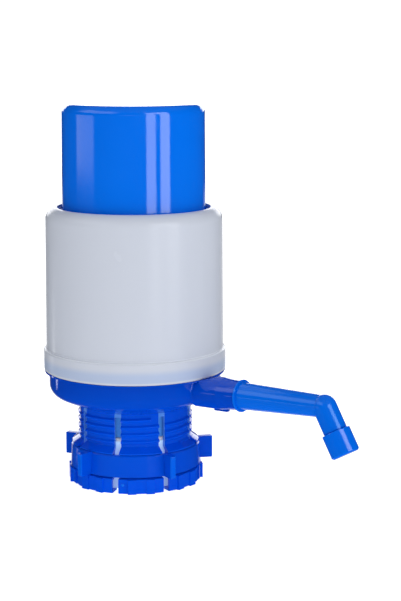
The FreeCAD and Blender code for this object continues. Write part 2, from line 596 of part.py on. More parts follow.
def make_base():
    """Bowl with the casing's rim, the neck spigot, the screw posts and the spout's socket."""
    body = new_body("base")
    floor_edge = f"({FLOOR} + ({BOWL_INSIDE} - {CREST}) * tan(bowl_slope))"
    corners = [
        ("nipple_radius + nipple_shoulder", BASE),
        (f"{SPIGOT} - spigot_wall", BASE),
        (f"{SPIGOT} - spigot_wall", SPIGOT_END),
        (SPIGOT, SPIGOT_END),
        (SPIGOT, BASE),
        (CREST, BASE),
        ("bowl_radius", BOWL_EDGE),
        ("bowl_radius", RIM),
        (BOWL_INSIDE, RIM),
        (BOWL_INSIDE, SHELF),
        (f"{BOWL_INSIDE} - shelf_width", SHELF),
        (f"{BOWL_INSIDE} - shelf_width", f"{SHELF} - shelf_depth"),
        (BOWL_INSIDE, f"{SHELF} - shelf_depth - shelf_width"),
        (BOWL_INSIDE, floor_edge),
        (CREST, FLOOR),
        ("nipple_radius + nipple_shoulder", FLOOR),
    ]
    revolve(body, "bowl", outline(new_sketch(body, "bowl_outline"), corners))
    round_ring(body, "inner_edge", BOWL_INSIDE, floor_edge, "bowl_round - bowl_wall")
    post = circle(
        new_sketch(body, "post_outline", "XY_Plane", at=(0, 0, FLOOR), turn="180 / screw_count"),
        SCREWS, 0, "post_radius",
    )
    first = extrude(body, "post", post, f"{SHELF} - {FLOOR}")
    round_pattern(body, "posts", [first], "screw_count")
    under = outline(new_sketch(body, "underside_outline"), [
        (CREST, BASE),
        ("bowl_radius", BOWL_EDGE),
        ("bowl_radius", BASE),
    ])
    revolve(body, "underside", under, cut=True)
    round_ring(body, "lower_edge", "bowl_radius", BOWL_EDGE, "bowl_round")

    socket = arm_sketch(body, "socket_outline")
    outline(socket, [
        (SOCKET_INNER, "socket_bore / 2"),
        (SOCKET_MOUTH, "socket_bore / 2"),
        (SOCKET_MOUTH, f"{SOCKET_WALL} - edge_break"),
        (f"{SOCKET_MOUTH} - edge_break", SOCKET_WALL),
        (f"{SOCKET_MOUTH} - socket_taper / 2", f"{SOCKET_WALL} + ({SOCKET_ROOT} - {SOCKET_WALL}) / 4"),
        (f"{SOCKET_MOUTH} - socket_taper", SOCKET_ROOT),
        (f"{BOWL_INSIDE} - 1", SOCKET_ROOT),
        (f"{BOWL_INSIDE} - 1", "socket_bore + boss_wall"),
        (SOCKET_INNER, "socket_bore + boss_wall"),
    ])
    revolve(body, "socket", socket, "H_Axis")
    blend(body, "socket_blend", socket_line(body.Shape), "socket_fillet")

    relief = outline(new_sketch(body, "band_relief"), [
        ("bowl_radius", LEDGE),
        (f"{BAND} + snap_play", LEDGE),
        (f"{BAND} + ramp_length", f"{LEDGE} + ramp_rise"),
        (f"{BAND} + ramp_length", RIM),
        ("bowl_radius", RIM),
    ])
    revolve(body, "relief", relief, cut=True)
    seat = outline(new_sketch(body, "deck_seat"), [
        (0, SHELF),
        (BOWL_INSIDE, SHELF),
        (BOWL_INSIDE, RIM),
        (0, RIM),
    ])
    revolve(body, "seat", seat, cut=True)
    ledge = outline(new_sketch(body, "ledge_outline"), [
        ("bowl_radius - bowl_wall / 2", f"{LEDGE} - ledge_thickness"),
        (f"({BAND} - ledge_inset)", f"{LEDGE} - ledge_thickness"),
        (f"({BAND} - ledge_inset)", LEDGE),
        ("bowl_radius - bowl_wall / 2", LEDGE),
    ])
    revolve(body, "ledge", ledge)
    bead = outline(new_sketch(body, "bead_outline"), [
        ("bowl_radius - bowl_wall / 2", f"{LEDGE} + bead_lift - bead_width / 2"),
        ("bowl_radius", f"{LEDGE} + bead_lift - bead_width / 2"),
        ("bowl_radius + bead_height", f"{LEDGE} + bead_lift"),
        ("bowl_radius", f"{LEDGE} + bead_lift + bead_width / 2"),
        ("bowl_radius - bowl_wall / 2", f"{LEDGE} + bead_lift + bead_width / 2"),
    ])
    revolve(body, "bead", bead)

    pilot_end = f"({CLAMP_TOP} - screw_length - screw_radius)"
    pilot = circle(
        new_sketch(body, "pilot_outline", "XY_Plane", at=(0, 0, pilot_end), turn="180 / screw_count"),
        SCREWS, 0, "screw_radius",
    )
    hole = extrude(body, "pilot", pilot, f"{SHELF} - {pilot_end}", cut=True)
    round_pattern(body, "pilots", [hole], "screw_count", adds=False)
    vent = circle(
        new_sketch(body, "vent_outline", "XY_Plane", at=(0, 0, BASE), turn="180 / vent_count"),
        f"({SPIGOT} - spigot_wall - vent_inset)", 0, "vent_radius",
    )
    way = extrude(body, "vent", vent, "bowl_floor", cut=True)
    round_pattern(body, "vents", [way], "vent_count", adds=False)

    bore = outline(arm_sketch(body, "bore_outline"), [
        (f"{SOCKET_INNER} - 1", 0),
        (f"{SOCKET_MOUTH} + 1", 0),
        (f"{SOCKET_MOUTH} + 1", "socket_bore"),
        (f"{SOCKET_INNER} - 1", "socket_bore"),
    ])
    revolve(body, "bore", bore, "H_Axis", cut=True)

    middle = f"{SOCKET_MOUTH} - socket_taper - key_length / 4"
    key = new_sketch(body, "key_outline", "XZ_Plane", at=(0, DUCT, "-key_width / 2"), turn="spout_rise")
    outline(key, [
        (f"{middle} - key_length / 2", f"-{SOCKET_ROOT} - key_depth"),
        (f"{middle} + key_length / 2", f"-{SOCKET_ROOT} - key_depth"),
        (f"{middle} + key_length / 2", "-socket_bore - key_depth"),
        (f"{middle} - key_length / 2", "-socket_bore - key_depth"),
    ])
    extrude(body, "key", key, "key_width")


def make_neck_gasket():
    """Soft washer between spigot and liner, its inner part over the bottle's mouth."""
    body = new_body("neck_gasket")
    under = f"{GASKET} - gasket_height"
    corners = [
        (f"({GRIP} - gasket_reach)", GASKET),
        (f"({GRIP} - gasket_reach)", f"{under} + gasket_bevel"),
        (f"({GRIP} - gasket_reach) + 2 * gasket_bevel", under),
        (LINER, under),
        (LINER, GASKET),
    ]
    revolve(body, "washer", outline(new_sketch(body, "washer_outline"), corners))


def make_neck_liner():
    """Thin sleeve inside the fingers that lies round the bottle's neck, slit so that it can close."""
    body = new_body("neck_liner")
    top = f"{GASKET} - gasket_height - soft_play"
    corners = [
        (f"{GRIP} + liner_entry", "lip_height"),
        (LINER, "lip_height"),
        (LINER, top),
        (GRIP, top),
        (GRIP, "lip_height + liner_entry"),
    ]
    revolve(body, "sleeve", outline(new_sketch(body, "sleeve_outline"), corners))
    slit = new_sketch(body, "slit_outline", "XY_Plane", turn="90 + 180 / slot_count")
    outline(slit, [
        ("neck_radius / 2", "-slot_width / 2"),
        (FLARE, "-slot_width / 2"),
        (FLARE, "slot_width / 2"),
        ("neck_radius / 2", "slot_width / 2"),
    ])
    extrude(body, "slit", slit, top, cut=True)


def make_tube_nipple():
    """Stub for the suction tube, with a flange on the floor and a collar for the elbow."""
    body = new_body("tube_nipple")
    seat = f"({FLOOR} + nipple_seat)"
    stem = "(nipple_radius + nipple_shoulder - fit_play)"
    end = f"({BASE} - nipple_length)"
    corners = [
        ("nipple_bore", end),
        ("nipple_radius - nipple_lead / 2", end),
        ("nipple_radius", f"{end} + nipple_lead"),
        ("nipple_radius", f"{BASE} - bowl_floor"),
        (stem, f"{BASE} - bowl_floor"),
        (stem, FLOOR),
        (f"({HUB} + nipple_brim)", FLOOR),
        (f"({HUB} + nipple_brim)", seat),
        ("nipple_radius", seat),
        ("nipple_radius", f"{seat} + nipple_collar"),
        ("nipple_bore", f"{seat} + nipple_collar"),
    ]
    revolve(body, "stub", outline(new_sketch(body, "stub_outline"), corners))


def make_water_elbow():
    """Duct from the nipple's collar to the inner end of the spout's socket."""
    body = new_body("water_elbow")
    seat = f"({FLOOR} + nipple_seat)"
    hub = outline(new_sketch(body, "hub_outline"), [
        (0, seat),
        (HUB, seat),
        (HUB, f"{DUCT} + hub_top"),
        (0, f"{DUCT} + hub_top"),
    ])
    revolve(body, "hub", hub)
    groove = f"({SOCKET_INNER} + elbow_spigot / 2)"
    floor_radius = f"({PLUG} - ring_thickness + fit_play)"
    arm = outline(arm_sketch(body, "duct_outline"), [
        (f"{HUB} / 2", 0),
        (f"{SOCKET_INNER} + elbow_spigot", 0),
        (f"{SOCKET_INNER} + elbow_spigot", PLUG),
        (f"{groove} + ring_thickness * 0.6", PLUG),
        (f"{groove} + ring_thickness * 0.6", floor_radius),
        (f"{groove} - ring_thickness * 0.6", floor_radius),
        (f"{groove} - ring_thickness * 0.6", PLUG),
        (f"{SOCKET_INNER} - flange_gap", PLUG),
        (f"{SOCKET_INNER} - flange_gap", "elbow_radius"),
        (f"{HUB} / 2", "elbow_radius"),
    ])
    revolve(body, "duct", arm, "H_Axis")
    upright = outline(new_sketch(body, "upright_bore"), [
        (0, seat),
        ("nipple_radius + fit_play", seat),
        ("nipple_radius + fit_play", f"{seat} + nipple_collar + flange_gap"),
        ("nipple_bore", f"{seat} + nipple_collar + flange_gap"),
        ("nipple_bore", f"{DUCT} + nipple_bore"),
        (0, f"{DUCT} + nipple_bore"),
    ])
    revolve(body, "upright", upright, cut=True)
    way = outline(arm_sketch(body, "level_bore"), [
        (0, 0),
        (f"{SOCKET_INNER} + elbow_spigot + 1", 0),
        (f"{SOCKET_INNER} + elbow_spigot + 1", "plug_bore"),
        (0, "plug_bore"),
    ])
    revolve(body, "level", way, "H_Axis", cut=True)
    x, z = along_arm(groove)
    ring = f"{floor_radius} + ring_thickness / 2"
    torus("elbow_o_ring", ring, "ring_thickness / 2", (x, 0, z), "90 - spout_rise")


def make_spout():
    """Bent tube: plug with its O-ring groove, flange, tapered arm, ball at the bend, leg and stepped tip."""
    body = new_body("spout")
    plug_end = f"({SOCKET_MOUTH} - plug_length)"
    groove = f"({plug_end} + 2.5 * ring_thickness)"
    floor_radius = f"({PLUG} - ring_thickness + fit_play)"
    arm = outline(arm_sketch(body, "arm_outline"), [
        (plug_end, 0),
        (plug_end, f"{PLUG} - fit_play * 10"),
        (f"{plug_end} + 1", PLUG),
        (f"{groove} - ring_thickness * 0.6", PLUG),
        (f"{groove} - ring_thickness * 0.6", floor_radius),
        (f"{groove} + ring_thickness * 0.6", floor_radius),
        (f"{groove} + ring_thickness * 0.6", PLUG),
        (FLANGE, PLUG),
        (FLANGE, f"{FLANGE_RADIUS} - edge_break"),
        (f"{FLANGE} + edge_break", FLANGE_RADIUS),
        (f"{ARM} - edge_break", FLANGE_RADIUS),
        (ARM, f"{FLANGE_RADIUS} - edge_break"),
        (ARM, "arm_root"),
        (BEND, "arm_end"),
        (BEND, 0),
    ])
    revolve(body, "arm", arm, "H_Axis")
    leg = outline(leg_sketch(body, "leg_outline"), [
        (0, 0),
        (0, LEG),
        ("leg_length - edge_break", LEG),
        ("leg_length", f"{LEG} - edge_break"),
        ("leg_length", TIP),
        (TIP_END, TIP),
        (TIP_END, 0),
    ])
    revolve(body, "leg", leg, "H_Axis")
    revolve(body, "ball", half_disc(leg_sketch(body, "ball_outline"), LEG), "H_Axis")
    arm_bore = outline(arm_sketch(body, "arm_bore"), [
        (f"{plug_end} - 1", 0),
        (f"{plug_end} - 1", "plug_bore"),
        (ARM, "plug_bore"),
        (f"{ARM} + arm_root", "arm_root - spout_wall"),
        (BEND, "arm_end - spout_wall"),
        (BEND, 0),
    ])
    revolve(body, "arm_way", arm_bore, "H_Axis", cut=True)
    leg_bore = outline(leg_sketch(body, "leg_bore"), [
        (0, 0),
        (0, f"{TIP} - spout_wall"),
        (f"{TIP_END} + 1", f"{TIP} - spout_wall"),
        (f"{TIP_END} + 1", 0),
    ])
    revolve(body, "leg_way", leg_bore, "H_Axis", cut=True)
    ball_bore = half_disc(leg_sketch(body, "ball_bore"), f"{TIP} - spout_wall")
    revolve(body, "ball_way", ball_bore, "H_Axis", cut=True)
    x, z = along_arm(groove)
    ring = f"{floor_radius} + ring_thickness / 2"
    torus("spout_o_ring", ring, "ring_thickness / 2 - fit_play / 2", (x, 0, z), "90 - spout_rise")


def make_dust_cap():
    """Hood pushed over the spout's tip."""
    body = new_body("dust_cap")
    rim = "(leg_length + hood_gap)"
    inside = f"({TIP_END} + hood_gap)"
    hood = outline(leg_sketch(body, "hood_outline"), [
        (rim, f"{TIP} + fit_play"),
        (rim, f"{HOOD} - edge_break"),
        (f"{rim} + edge_break", HOOD),
        (f"{inside} + hood_floor - 1", HOOD),
        (f"{inside} + hood_floor", f"{HOOD} - 1"),
        (f"{inside} + hood_floor", 0),
        (inside, 0),
        (inside, f"{TIP} + fit_play"),
    ])
    revolve(body, "hood", hood, "H_Axis")


def add_cage_collar(body, x, plate_under):
    """Collar under a plate, round the top of a valve cage, and the hole above the valve disc."""
    collar = new_sketch(body, "collar_outline", "XY_Plane", at=(x, 0, plate_under))
    circle(collar, 0, 0, f"{CAGE} + fit_play")
    circle(collar, 0, 0, f"{CAGE} + fit_play + collar_wall")
    extrude(body, "collar", collar, "collar_height", reverse=True)
    hole = circle(new_sketch(body, "valve_hole", "XY_Plane", at=(x, 0, plate_under)), 0, 0, "valve_hole")
    extrude(body, "hole", hole, "deck_thickness + head_thickness", cut=True)


def add_spring_seat(body, height, down):
    """Ring round one end of the spring."""
    seat = new_sketch(body, "seat_outline", "XY_Plane", at=(0, 0, height))
    circle(seat, 0, 0, "spring_radius + 1.5 * wire_radius")
    circle(seat, 0, 0, "spring_radius + 1.5 * wire_radius + seat_wall")
    extrude(body, "seat", seat, "seat_height", reverse=down)


def make_valve(prefix, x, plate_under):
    """Valve disc resting in its slotted cage under a plate."""
    cage_floor = f"({plate_under} - valve_lift - disc_thickness - disc_play)"
    body = new_body(f"{prefix}_valve_cage")
    cup = new_sketch(body, "cup_outline", "XY_Plane", at=(x, 0, f"{cage_floor} - cage_wall"))
    extrude(body, "cup", circle(cup, 0, 0, CAGE), f"{plate_under} - {cage_floor} + cage_wall")
    inside = new_sketch(body, "inside_outline", "XY_Plane", at=(x, 0, cage_floor))
    circle(inside, 0, 0, f"{CAGE} - cage_wall")
    extrude(body, "inside", inside, f"{plate_under} - {cage_floor}", cut=True)
    for turn in (0, 90):
        for side in (1, -1):
            name = f"slot_{turn}_{'in' if side > 0 else 'out'}"
            slot = new_sketch(body, name, "XY_Plane", at=(x, 0, f"{cage_floor} - cage_wall"), turn=turn)
            outline(slot, [
                (f"{side} * {CAGE} * 0.3", "-cage_slot / 2"),
                (f"{side} * {CAGE} * 1.1", "-cage_slot / 2"),
                (f"{side} * {CAGE} * 1.1", "cage_slot / 2"),
                (f"{side} * {CAGE} * 0.3", "cage_slot / 2"),
            ])
            extrude(body, f"cut_{name}", slot, "cage_wall + disc_thickness", cut=True)

    disc = doc.addObject("Part::Cylinder", f"{prefix}_valve_disc")
    disc.Label = f"{prefix}_valve_disc"
    bind(disc, "Radius", "disc_radius")
    bind(disc, "Height", "disc_thickness")
    bind(disc, "Placement.Base.x", x)
    bind(disc, "Placement.Base.z", f"{cage_floor} + disc_play")
    nodes.append(disc)


def make_deck():
    """Plate that closes the bowl, with its ribs, spring seat, check valve seat and O-ring groove."""
    body = new_body("deck")
    edge = f"({BOWL_INSIDE} - deck_play)"
    middle = f"({SHELF} + deck_thickness / 2)"
    groove = f"({edge} - seal_thickness - deck_play)"
    corners = [
        (0, SHELF),
        (edge, SHELF),
        (edge, f"{middle} - seal_thickness * 0.6"),
        (groove, f"{middle} - seal_thickness * 0.6"),
        (groove, f"{middle} + seal_thickness * 0.6"),
        (edge, f"{middle} + seal_thickness * 0.6"),
        (edge, DECK),
        (0, DECK),
    ]
    revolve(body, "plate", outline(new_sketch(body, "plate_outline"), corners))
    rib = new_sketch(body, "rib_outline", "XY_Plane", at=(0, 0, SHELF), turn="180 / screw_count")
    outline(rib, [
        (f"{HUB} + 2 * rib_thickness", "-rib_thickness / 2"),
        (f"{SCREWS} - post_radius - rib_thickness", "-rib_thickness / 2"),
        (f"{SCREWS} - post_radius - rib_thickness", "rib_thickness / 2"),
        (f"{HUB} + 2 * rib_thickness", "rib_thickness / 2"),
    ])
    first = extrude(body, "rib", rib, "rib_height", reverse=True)
    round_pattern(body, "ribs", [first], "screw_count")
    pass_hole = circle(
        new_sketch(body, "pass_outline", "XY_Plane", at=(0, 0, SHELF), turn="180 / screw_count"),
        SCREWS, 0, "screw_radius + deck_play",
    )
    hole = extrude(body, "pass", pass_hole, "deck_thickness", cut=True)
    round_pattern(body, "passes", [hole], "screw_count", adds=False)
    add_spring_seat(body, DECK, down=False)
    add_cage_collar(body, f"-{CHECK_VALVE}", SHELF)
    torus("deck_o_ring", f"{edge} - seal_thickness / 2", "seal_thickness / 2", (0, 0, middle))


def make_clamp_ring():
    """Ring that holds the bellows' foot on the deck."""
    body = new_body("bellows_clamp_ring")
    outside = f"({BOWL_INSIDE} - clamp_edge)"
    corners = [
        (f"({BELLOWS_NECK} + bellows_wall + clamp_reach)", CLAMP),
        (f"{BELLOWS_FOOT} + 2 * soft_play", CLAMP),
        (f"{BELLOWS_FOOT} + 2 * soft_play", DECK),
        (outside, DECK),
        (outside, CLAMP_TOP),
        (f"({BELLOWS_NECK} + bellows_wall + clamp_reach)", CLAMP_TOP),
    ]
    revolve(body, "ring", outline(new_sketch(body, "ring_outline"), corners))
    pass_hole = circle(
        new_sketch(body, "pass_outline", "XY_Plane", at=(0, 0, DECK), turn="180 / screw_count"),
        SCREWS, 0, "screw_radius + deck_play",
    )
    hole = extrude(body, "pass", pass_hole, f"{CLAMP_TOP} - {DECK}", cut=True)
    round_pattern(body, "passes", [hole], "screw_count", adds=False)


def make_clamp_screws():
    """Screws through the clamp ring and the deck into the bowl's posts, one group."""
    body = new_body("clamp_screws")
    body.AllowCompound = True
    screw = new_sketch(body, "shank_outline", "XY_Plane", at=(0, 0, f"{CLAMP_TOP} - screw_length"),
                       turn="180 / screw_count")
    circle(screw, SCREWS, 0, "screw_radius - fit_play")
    shank = extrude(body, "shank", screw, "screw_length")
    top = new_sketch(body, "head_outline", "XY_Plane", at=(0, 0, CLAMP_TOP), turn="180 / screw_count")
    circle(top, SCREWS, 0, "screw_head")
    head = extrude(body, "head", top, "screw_head_height")
    round_pattern(body, "screws", [shank, head], "screw_count")


def make_bellows():
    """Pleated air chamber with a foot under the clamp ring and a neck round the bellows head."""
    body = new_body("air_bellows")
    low = f"({FOOT} + neck_length)"
    high = f"({HEAD} - neck_length - soft_play)"
    pitch = f"(({high} - {low}) / pleat_count)"
    outside = f"({BELLOWS_NECK} + bellows_wall)"
    foot = outline(new_sketch(body, "foot_outline"), [
        (BELLOWS_NECK, FOOT),
        (BELLOWS_FOOT, FOOT),
        (BELLOWS_FOOT, f"{FOOT} + foot_thickness"),
        (outside, f"{FOOT} + foot_thickness"),
        (outside, low),
        (BELLOWS_NECK, low),
    ])
    revolve(body, "foot", foot)
    pleat = outline(new_sketch(body, "pleat_outline"), [
        (PLEAT_INSIDE, low),
        (outside, low),
        (PLEAT, f"{low} + {pitch} / 2"),
        (outside, f"{low} + {pitch}"),
        (PLEAT_INSIDE, f"{low} + {pitch}"),
        (f"{PLEAT} - bellows_wall * 1.5", f"{low} + {pitch} / 2"),
    ])
    first = revolve(body, "pleat", pleat)
    before = volume(body)
    stack = body.newObject("PartDesign::LinearPattern", "air_bellows_pleats")
    stack.Originals = [first]
    stack.Direction = (next(item for item in body.Origin.OriginFeatures if item.Role == "Z_Axis"), [""])
    bind(stack, "Length", f"{pitch} * (pleat_count - 1)")
    bind(stack, "Occurrences", "pleat_count")
    body.Tip = stack
    checked(body, stack, before, True)
    neck = outline(new_sketch(body, "neck_outline"), [
        (BELLOWS_NECK, high),
        (outside, high),
        (outside, f"{HEAD} - soft_play"),
        (BELLOWS_NECK, f"{HEAD} - soft_play"),
    ])
    revolve(body, "neck", neck)


def make_return_spring():
    """Compression spring between the deck and the bellows head."""
    body = new_body("return_spring")
    start = f"({DECK} + wire_radius)"
    wire = circle(new_sketch(body, "wire_outline"), "spring_radius", start, "wire_radius")
    coil = feature(body, "AdditiveHelix", "coil", wire)
    coil.ReferenceAxis = (wire, ["V_Axis"])
    coil.Mode = "height-turns-angle"
    bind(coil, "Turns", "coil_count")
    bind(coil, "Height", f"{HEAD} - {start} - wire_radius")
    checked(body, coil, 0.0, True)


def make_bellows_head():
    """Disc that closes the bellows, with its spigot, spring seat and inlet valve seat."""
    body = new_body("bellows_head")
    spigot = f"({BELLOWS_NECK} - soft_play)"
    corners = [
        (0, HEAD),
        (f"{spigot} - head_wall", HEAD),
        (f"{spigot} - head_wall", f"{HEAD} - neck_length"),
        (spigot, f"{HEAD} - neck_length"),
        (spigot, HEAD),
        (HEAD_RADIUS, HEAD),
        (HEAD_RADIUS, HEAD_TOP),
        (0, HEAD_TOP),
    ]
    revolve(body, "disc", outline(new_sketch(body, "disc_outline"), corners))
    add_spring_seat(body, HEAD, down=True)
    add_cage_collar(body, 0, HEAD)


def make_casing():
    """Outer shell: band with a snap groove round the base's rim, drafted wall and rolled-in shoulder."""
    body = new_body("casing")
    inside = f"({CASING_RADIUS} - casing_wall)"
    shoulder = f"({CASING_RADIUS} - casing_draft)"
    lip = "(bowl_radius + snap_play)"
    groove = f"({LEDGE} + bead_lift)"
    half = "(bead_width / 2 + snap_play)"
    under = f"({CASING_TOP} - casing_wall)"
    corners = [
        (lip, LEDGE),
        (BAND, LEDGE),
        (BAND, f"{LEDGE} + band_height"),
        (CASING_RADIUS, f"{LEDGE} + band_height"),
        (shoulder, CASING_TOP),
        (OPENING, CASING_TOP),
        (OPENING, under),
        (f"{shoulder} - casing_wall", under),
        (inside, f"{RIM} + snap_play"),
        (lip, f"{RIM} + snap_play"),
        (lip, f"{groove} + {half}"),
        (f"{lip} + bead_height", groove),
        (lip, f"{groove} - {half}"),
    ]
    revolve(body, "shell", outline(new_sketch(body, "shell_outline"), corners))
    round_ring(body, "shoulder", shoulder, CASING_TOP, "casing_round")
    round_ring(body, "inner_shoulder", f"{shoulder} - casing_wall", under, "casing_round - casing_wall")
    for name, height in (("band_foot", LEDGE), ("band_top", f"{LEDGE} + band_height")):
        round_ring(body, name, BAND, height, "band_round")


def make_push_cap():
    """Inverted cup with a turned-down skirt that guides it in the casing and stops it under the shoulder."""
    body = new_body("push_cap")
    skirt = f"({CASING_RADIUS} - casing_draft - casing_wall - skirt_play)"
    brim = f"({CASING_TOP} - casing_wall - skirt_play)"
    foot = f"({brim} - skirt_height)"
    top = f"({CAP_RADIUS} - cap_draft)"
    corners = [
        (f"{skirt} - skirt_wall", foot),
        (skirt, foot),
        (skirt, brim),
        (CAP_RADIUS, brim),
        (top, CAP_TOP),
        (0, CAP_TOP),
        (0, CAP_CEILING),
        (f"{top} - cap_wall", CAP_CEILING),
        (f"{CAP_RADIUS} - cap_wall", f"{brim} - skirt_wall"),
        (f"{skirt} - skirt_wall", f"{brim} - skirt_wall"),
    ]
    revolve(body, "cup", outline(new_sketch(body, "cup_outline"), corners))
    inner_round = "casing_round - casing_wall - skirt_play"
    round_ring(body, "top_edge", top, CAP_TOP, "cap_round")
    round_ring(body, "ceiling_edge", f"{top} - cap_wall", CAP_CEILING, "cap_round - cap_wall")
    round_ring(body, "brim_edge", skirt, brim, inner_round)
    hollow_round = f"{inner_round} - skirt_wall"
    round_ring(body, "brim_hollow", f"{skirt} - skirt_wall", f"{brim} - skirt_wall", hollow_round)
    rib = new_sketch(body, "rib_outline", "XY_Plane", at=(0, 0, f"{CAP_CEILING} - cap_rib_height"))
    outline(rib, [
        (CAGE, "-cap_wall / 2"),
        (HEAD_RADIUS, "-cap_wall / 2"),
        (HEAD_RADIUS, "cap_wall / 2"),
        (CAGE, "cap_wall / 2"),
    ])
    first = extrude(body, "rib", rib, "cap_rib_height + cap_top / 2")
    round_pattern(body, "ribs", [first], "cap_ribs")


def check_and_write():
    """Stop on any failed object or bad shape, then write one STEP file for each node."""
    doc.recompute()
    for item in doc.Objects:
        if any(state in ("Invalid", "Error") for state in item.State):
            raise RuntimeError(f"{item.Name} is {item.State}")
    for node in nodes:
        if node.Shape.isNull() or not node.Shape.isValid():
            raise RuntimeError(f"{node.Label} has no valid shape")
    os.makedirs("parts", exist_ok=True)
    for node in nodes:
        node.Shape.exportStep(f"parts/{node.Label}.step")
        box = node.Shape.BoundBox
        print(f"{node.Label:20s} solids {len(node.Shape.Solids)} volume {node.Shape.Volume:9.1f} "
              f"x {box.XMin:7.2f} {box.XMax:7.2f}  z {box.ZMin:7.2f} {box.ZMax:7.2f}")


make_neck_collet()
make_ring_nut()
make_base()
make_neck_gasket()
make_neck_liner()
make_tube_nipple()
make_water_elbow()
make_spout()
make_dust_cap()
make_deck()
make_valve("check", f"-{CHECK_VALVE}", SHELF)
make_clamp_ring()
make_clamp_screws()
make_bellows()
make_return_spring()
make_bellows_head()
make_valve("inlet", "0", HEAD)
make_casing()
make_push_cap()
check_and_write()
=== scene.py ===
"""Looks of the bottle hand pump: finishes, detailed pieces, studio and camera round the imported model."""
import json
import logging
import math
from dataclasses import dataclass
from enum import Enum

import bpy
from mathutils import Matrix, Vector

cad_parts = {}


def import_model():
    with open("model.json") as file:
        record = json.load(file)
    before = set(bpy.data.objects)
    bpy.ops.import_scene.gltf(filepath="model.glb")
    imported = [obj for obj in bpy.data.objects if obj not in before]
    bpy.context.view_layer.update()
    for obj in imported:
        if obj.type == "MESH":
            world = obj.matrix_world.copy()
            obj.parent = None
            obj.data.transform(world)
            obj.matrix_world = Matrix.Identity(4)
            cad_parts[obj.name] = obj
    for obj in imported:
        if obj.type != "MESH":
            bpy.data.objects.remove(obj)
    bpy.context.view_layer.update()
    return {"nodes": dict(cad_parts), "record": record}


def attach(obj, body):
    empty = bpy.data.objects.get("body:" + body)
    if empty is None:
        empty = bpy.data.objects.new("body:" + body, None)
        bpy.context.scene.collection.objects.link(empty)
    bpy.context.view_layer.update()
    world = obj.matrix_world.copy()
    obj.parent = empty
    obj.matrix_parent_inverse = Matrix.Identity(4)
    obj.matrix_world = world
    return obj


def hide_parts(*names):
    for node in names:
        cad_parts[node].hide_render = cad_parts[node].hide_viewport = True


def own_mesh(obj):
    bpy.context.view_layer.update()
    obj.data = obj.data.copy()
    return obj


Tree = bpy.types.NodeTree
Socket = bpy.types.NodeSocket
Value = Socket | float
Tone = tuple[float, float, float]

LOG = logging.getLogger("pump")
MM = 0.001
# Corners that lie nearer to each other than this, in metres, are one.
TOUCHING = 1e-6
# How far in from its corner a rounding passes, as a share of its radius.
ROUNDED = 0.3


class Body(Enum):
    """Moving body that the new pieces belong to."""

    PUMP = "pump"


# --------------------------------------------------------------------------- wiring of nodes


class Ramp(Enum):
    """How a value goes from one end of its range to the other."""

    EVEN = "LINEAR"
    SMOOTH = "SMOOTHSTEP"


class Tinting(Enum):
    """How a colour goes over the colour under it."""

    FILTER = "MULTIPLY"
    COVER = "MIX"


def feed(tree: Tree, value: Value, entry: Socket) -> None:
    """Set an input to a number, or link a socket to it.

    Args:
        tree: Node tree of the input.
        value: The number or the socket.
        entry: The input.
    """
    if isinstance(value, float):
        entry.default_value = value
    else:
        tree.links.new(value, entry)


def calculate(tree: Tree, operation: str, first: Value, second: Value = 0.0) -> Socket:
    """Add a math node.

    Args:
        tree: Node tree that it goes into.
        operation: What it does with its values.
        first: Its first value.
        second: Its second value, where the operation takes two.

    Returns:
        Its result.
    """
    node = tree.nodes.new("ShaderNodeMath")
    node.operation = operation
    feed(tree, first, node.inputs[0])
    feed(tree, second, node.inputs[1])
    return node.outputs["Value"]


def ramp(tree: Tree, source: Socket, start: Value, end: Value, shape: Ramp = Ramp.SMOOTH,
         low: Value = 0.0, high: Value = 1.0) -> Socket:
    """Add a node whose result goes from low to high while its source goes from start to end.

    Args:
        tree: Node tree that it goes into.
        source: What it follows.
        start: Where the source leaves the low result.
        end: Where the source reaches the high result.
        shape: How the result goes between the two.
        low: Result up to the start.
        high: Result from the end on.

    Returns:
        Its result.
    """
    node = tree.nodes.new("ShaderNodeMapRange")
    node.interpolation_type = shape.value
    entries = {"Value": source, "From Min": start, "From Max": end, "To Min": low, "To Max": high}
    for label, value in entries.items():
        feed(tree, value, node.inputs[label])
    return node.outputs["Result"]


def tint(tree: Tree, share: Socket, under: Socket, over: Socket | Tone,
         tinting: Tinting = Tinting.COVER) -> Socket:
    """Add a node that lays one colour over another.

    Args:
        tree: Node tree that it goes into.
        share: How much of the upper colour shows, from 0 to 1.
        under: The lower colour.
        over: The upper colour, a socket or a plain tone.
        tinting: How the upper colour goes over the lower one.

    Returns:
        The colour that shows.
    """
    node = tree.nodes.new("ShaderNodeMix")
    node.data_type = "RGBA"
    node.blend_type = tinting.value
    node.clamp_factor = True
    tree.links.new(share, node.inputs["Factor"])
    tree.links.new(under, node.inputs["A"])
    if isinstance(over, tuple):
        node.inputs["B"].default_value = (*over, 1.0)
    else:
        tree.links.new(over, node.inputs["B"])
    return node.outputs["Result"]


def object_place(tree: Tree) -> tuple[Socket, Socket, Socket]:
    """Add nodes that give a point's place on the piece.

    Args:
        tree: Node tree that they go into.

    Returns:
        The point's X, Y and Z.
    """
    place = tree.nodes.new("ShaderNodeTexCoord")
    split = tree.nodes.new("ShaderNodeSeparateXYZ")
    tree.links.new(place.outputs["Object"], split.inputs["Vector"])
    return split.outputs["X"], split.outputs["Y"], split.outputs["Z"]


def axis_distance(tree: Tree, across: Socket, along: Socket) -> Socket:
    """Add nodes that measure how far a point lies from the pump's axis.

    Args:
        tree: Node tree that they go into.
        across: The point's X.
        along: The point's Y.

    Returns:
        The distance.
    """
    level = tree.nodes.new("ShaderNodeCombineXYZ")
    reach = tree.nodes.new("ShaderNodeVectorMath")
    reach.operation = "LENGTH"
    tree.links.new(across, level.inputs["X"])
    tree.links.new(along, level.inputs["Y"])
    tree.links.new(level.outputs["Vector"], reach.inputs[0])
    return reach.outputs["Value"]


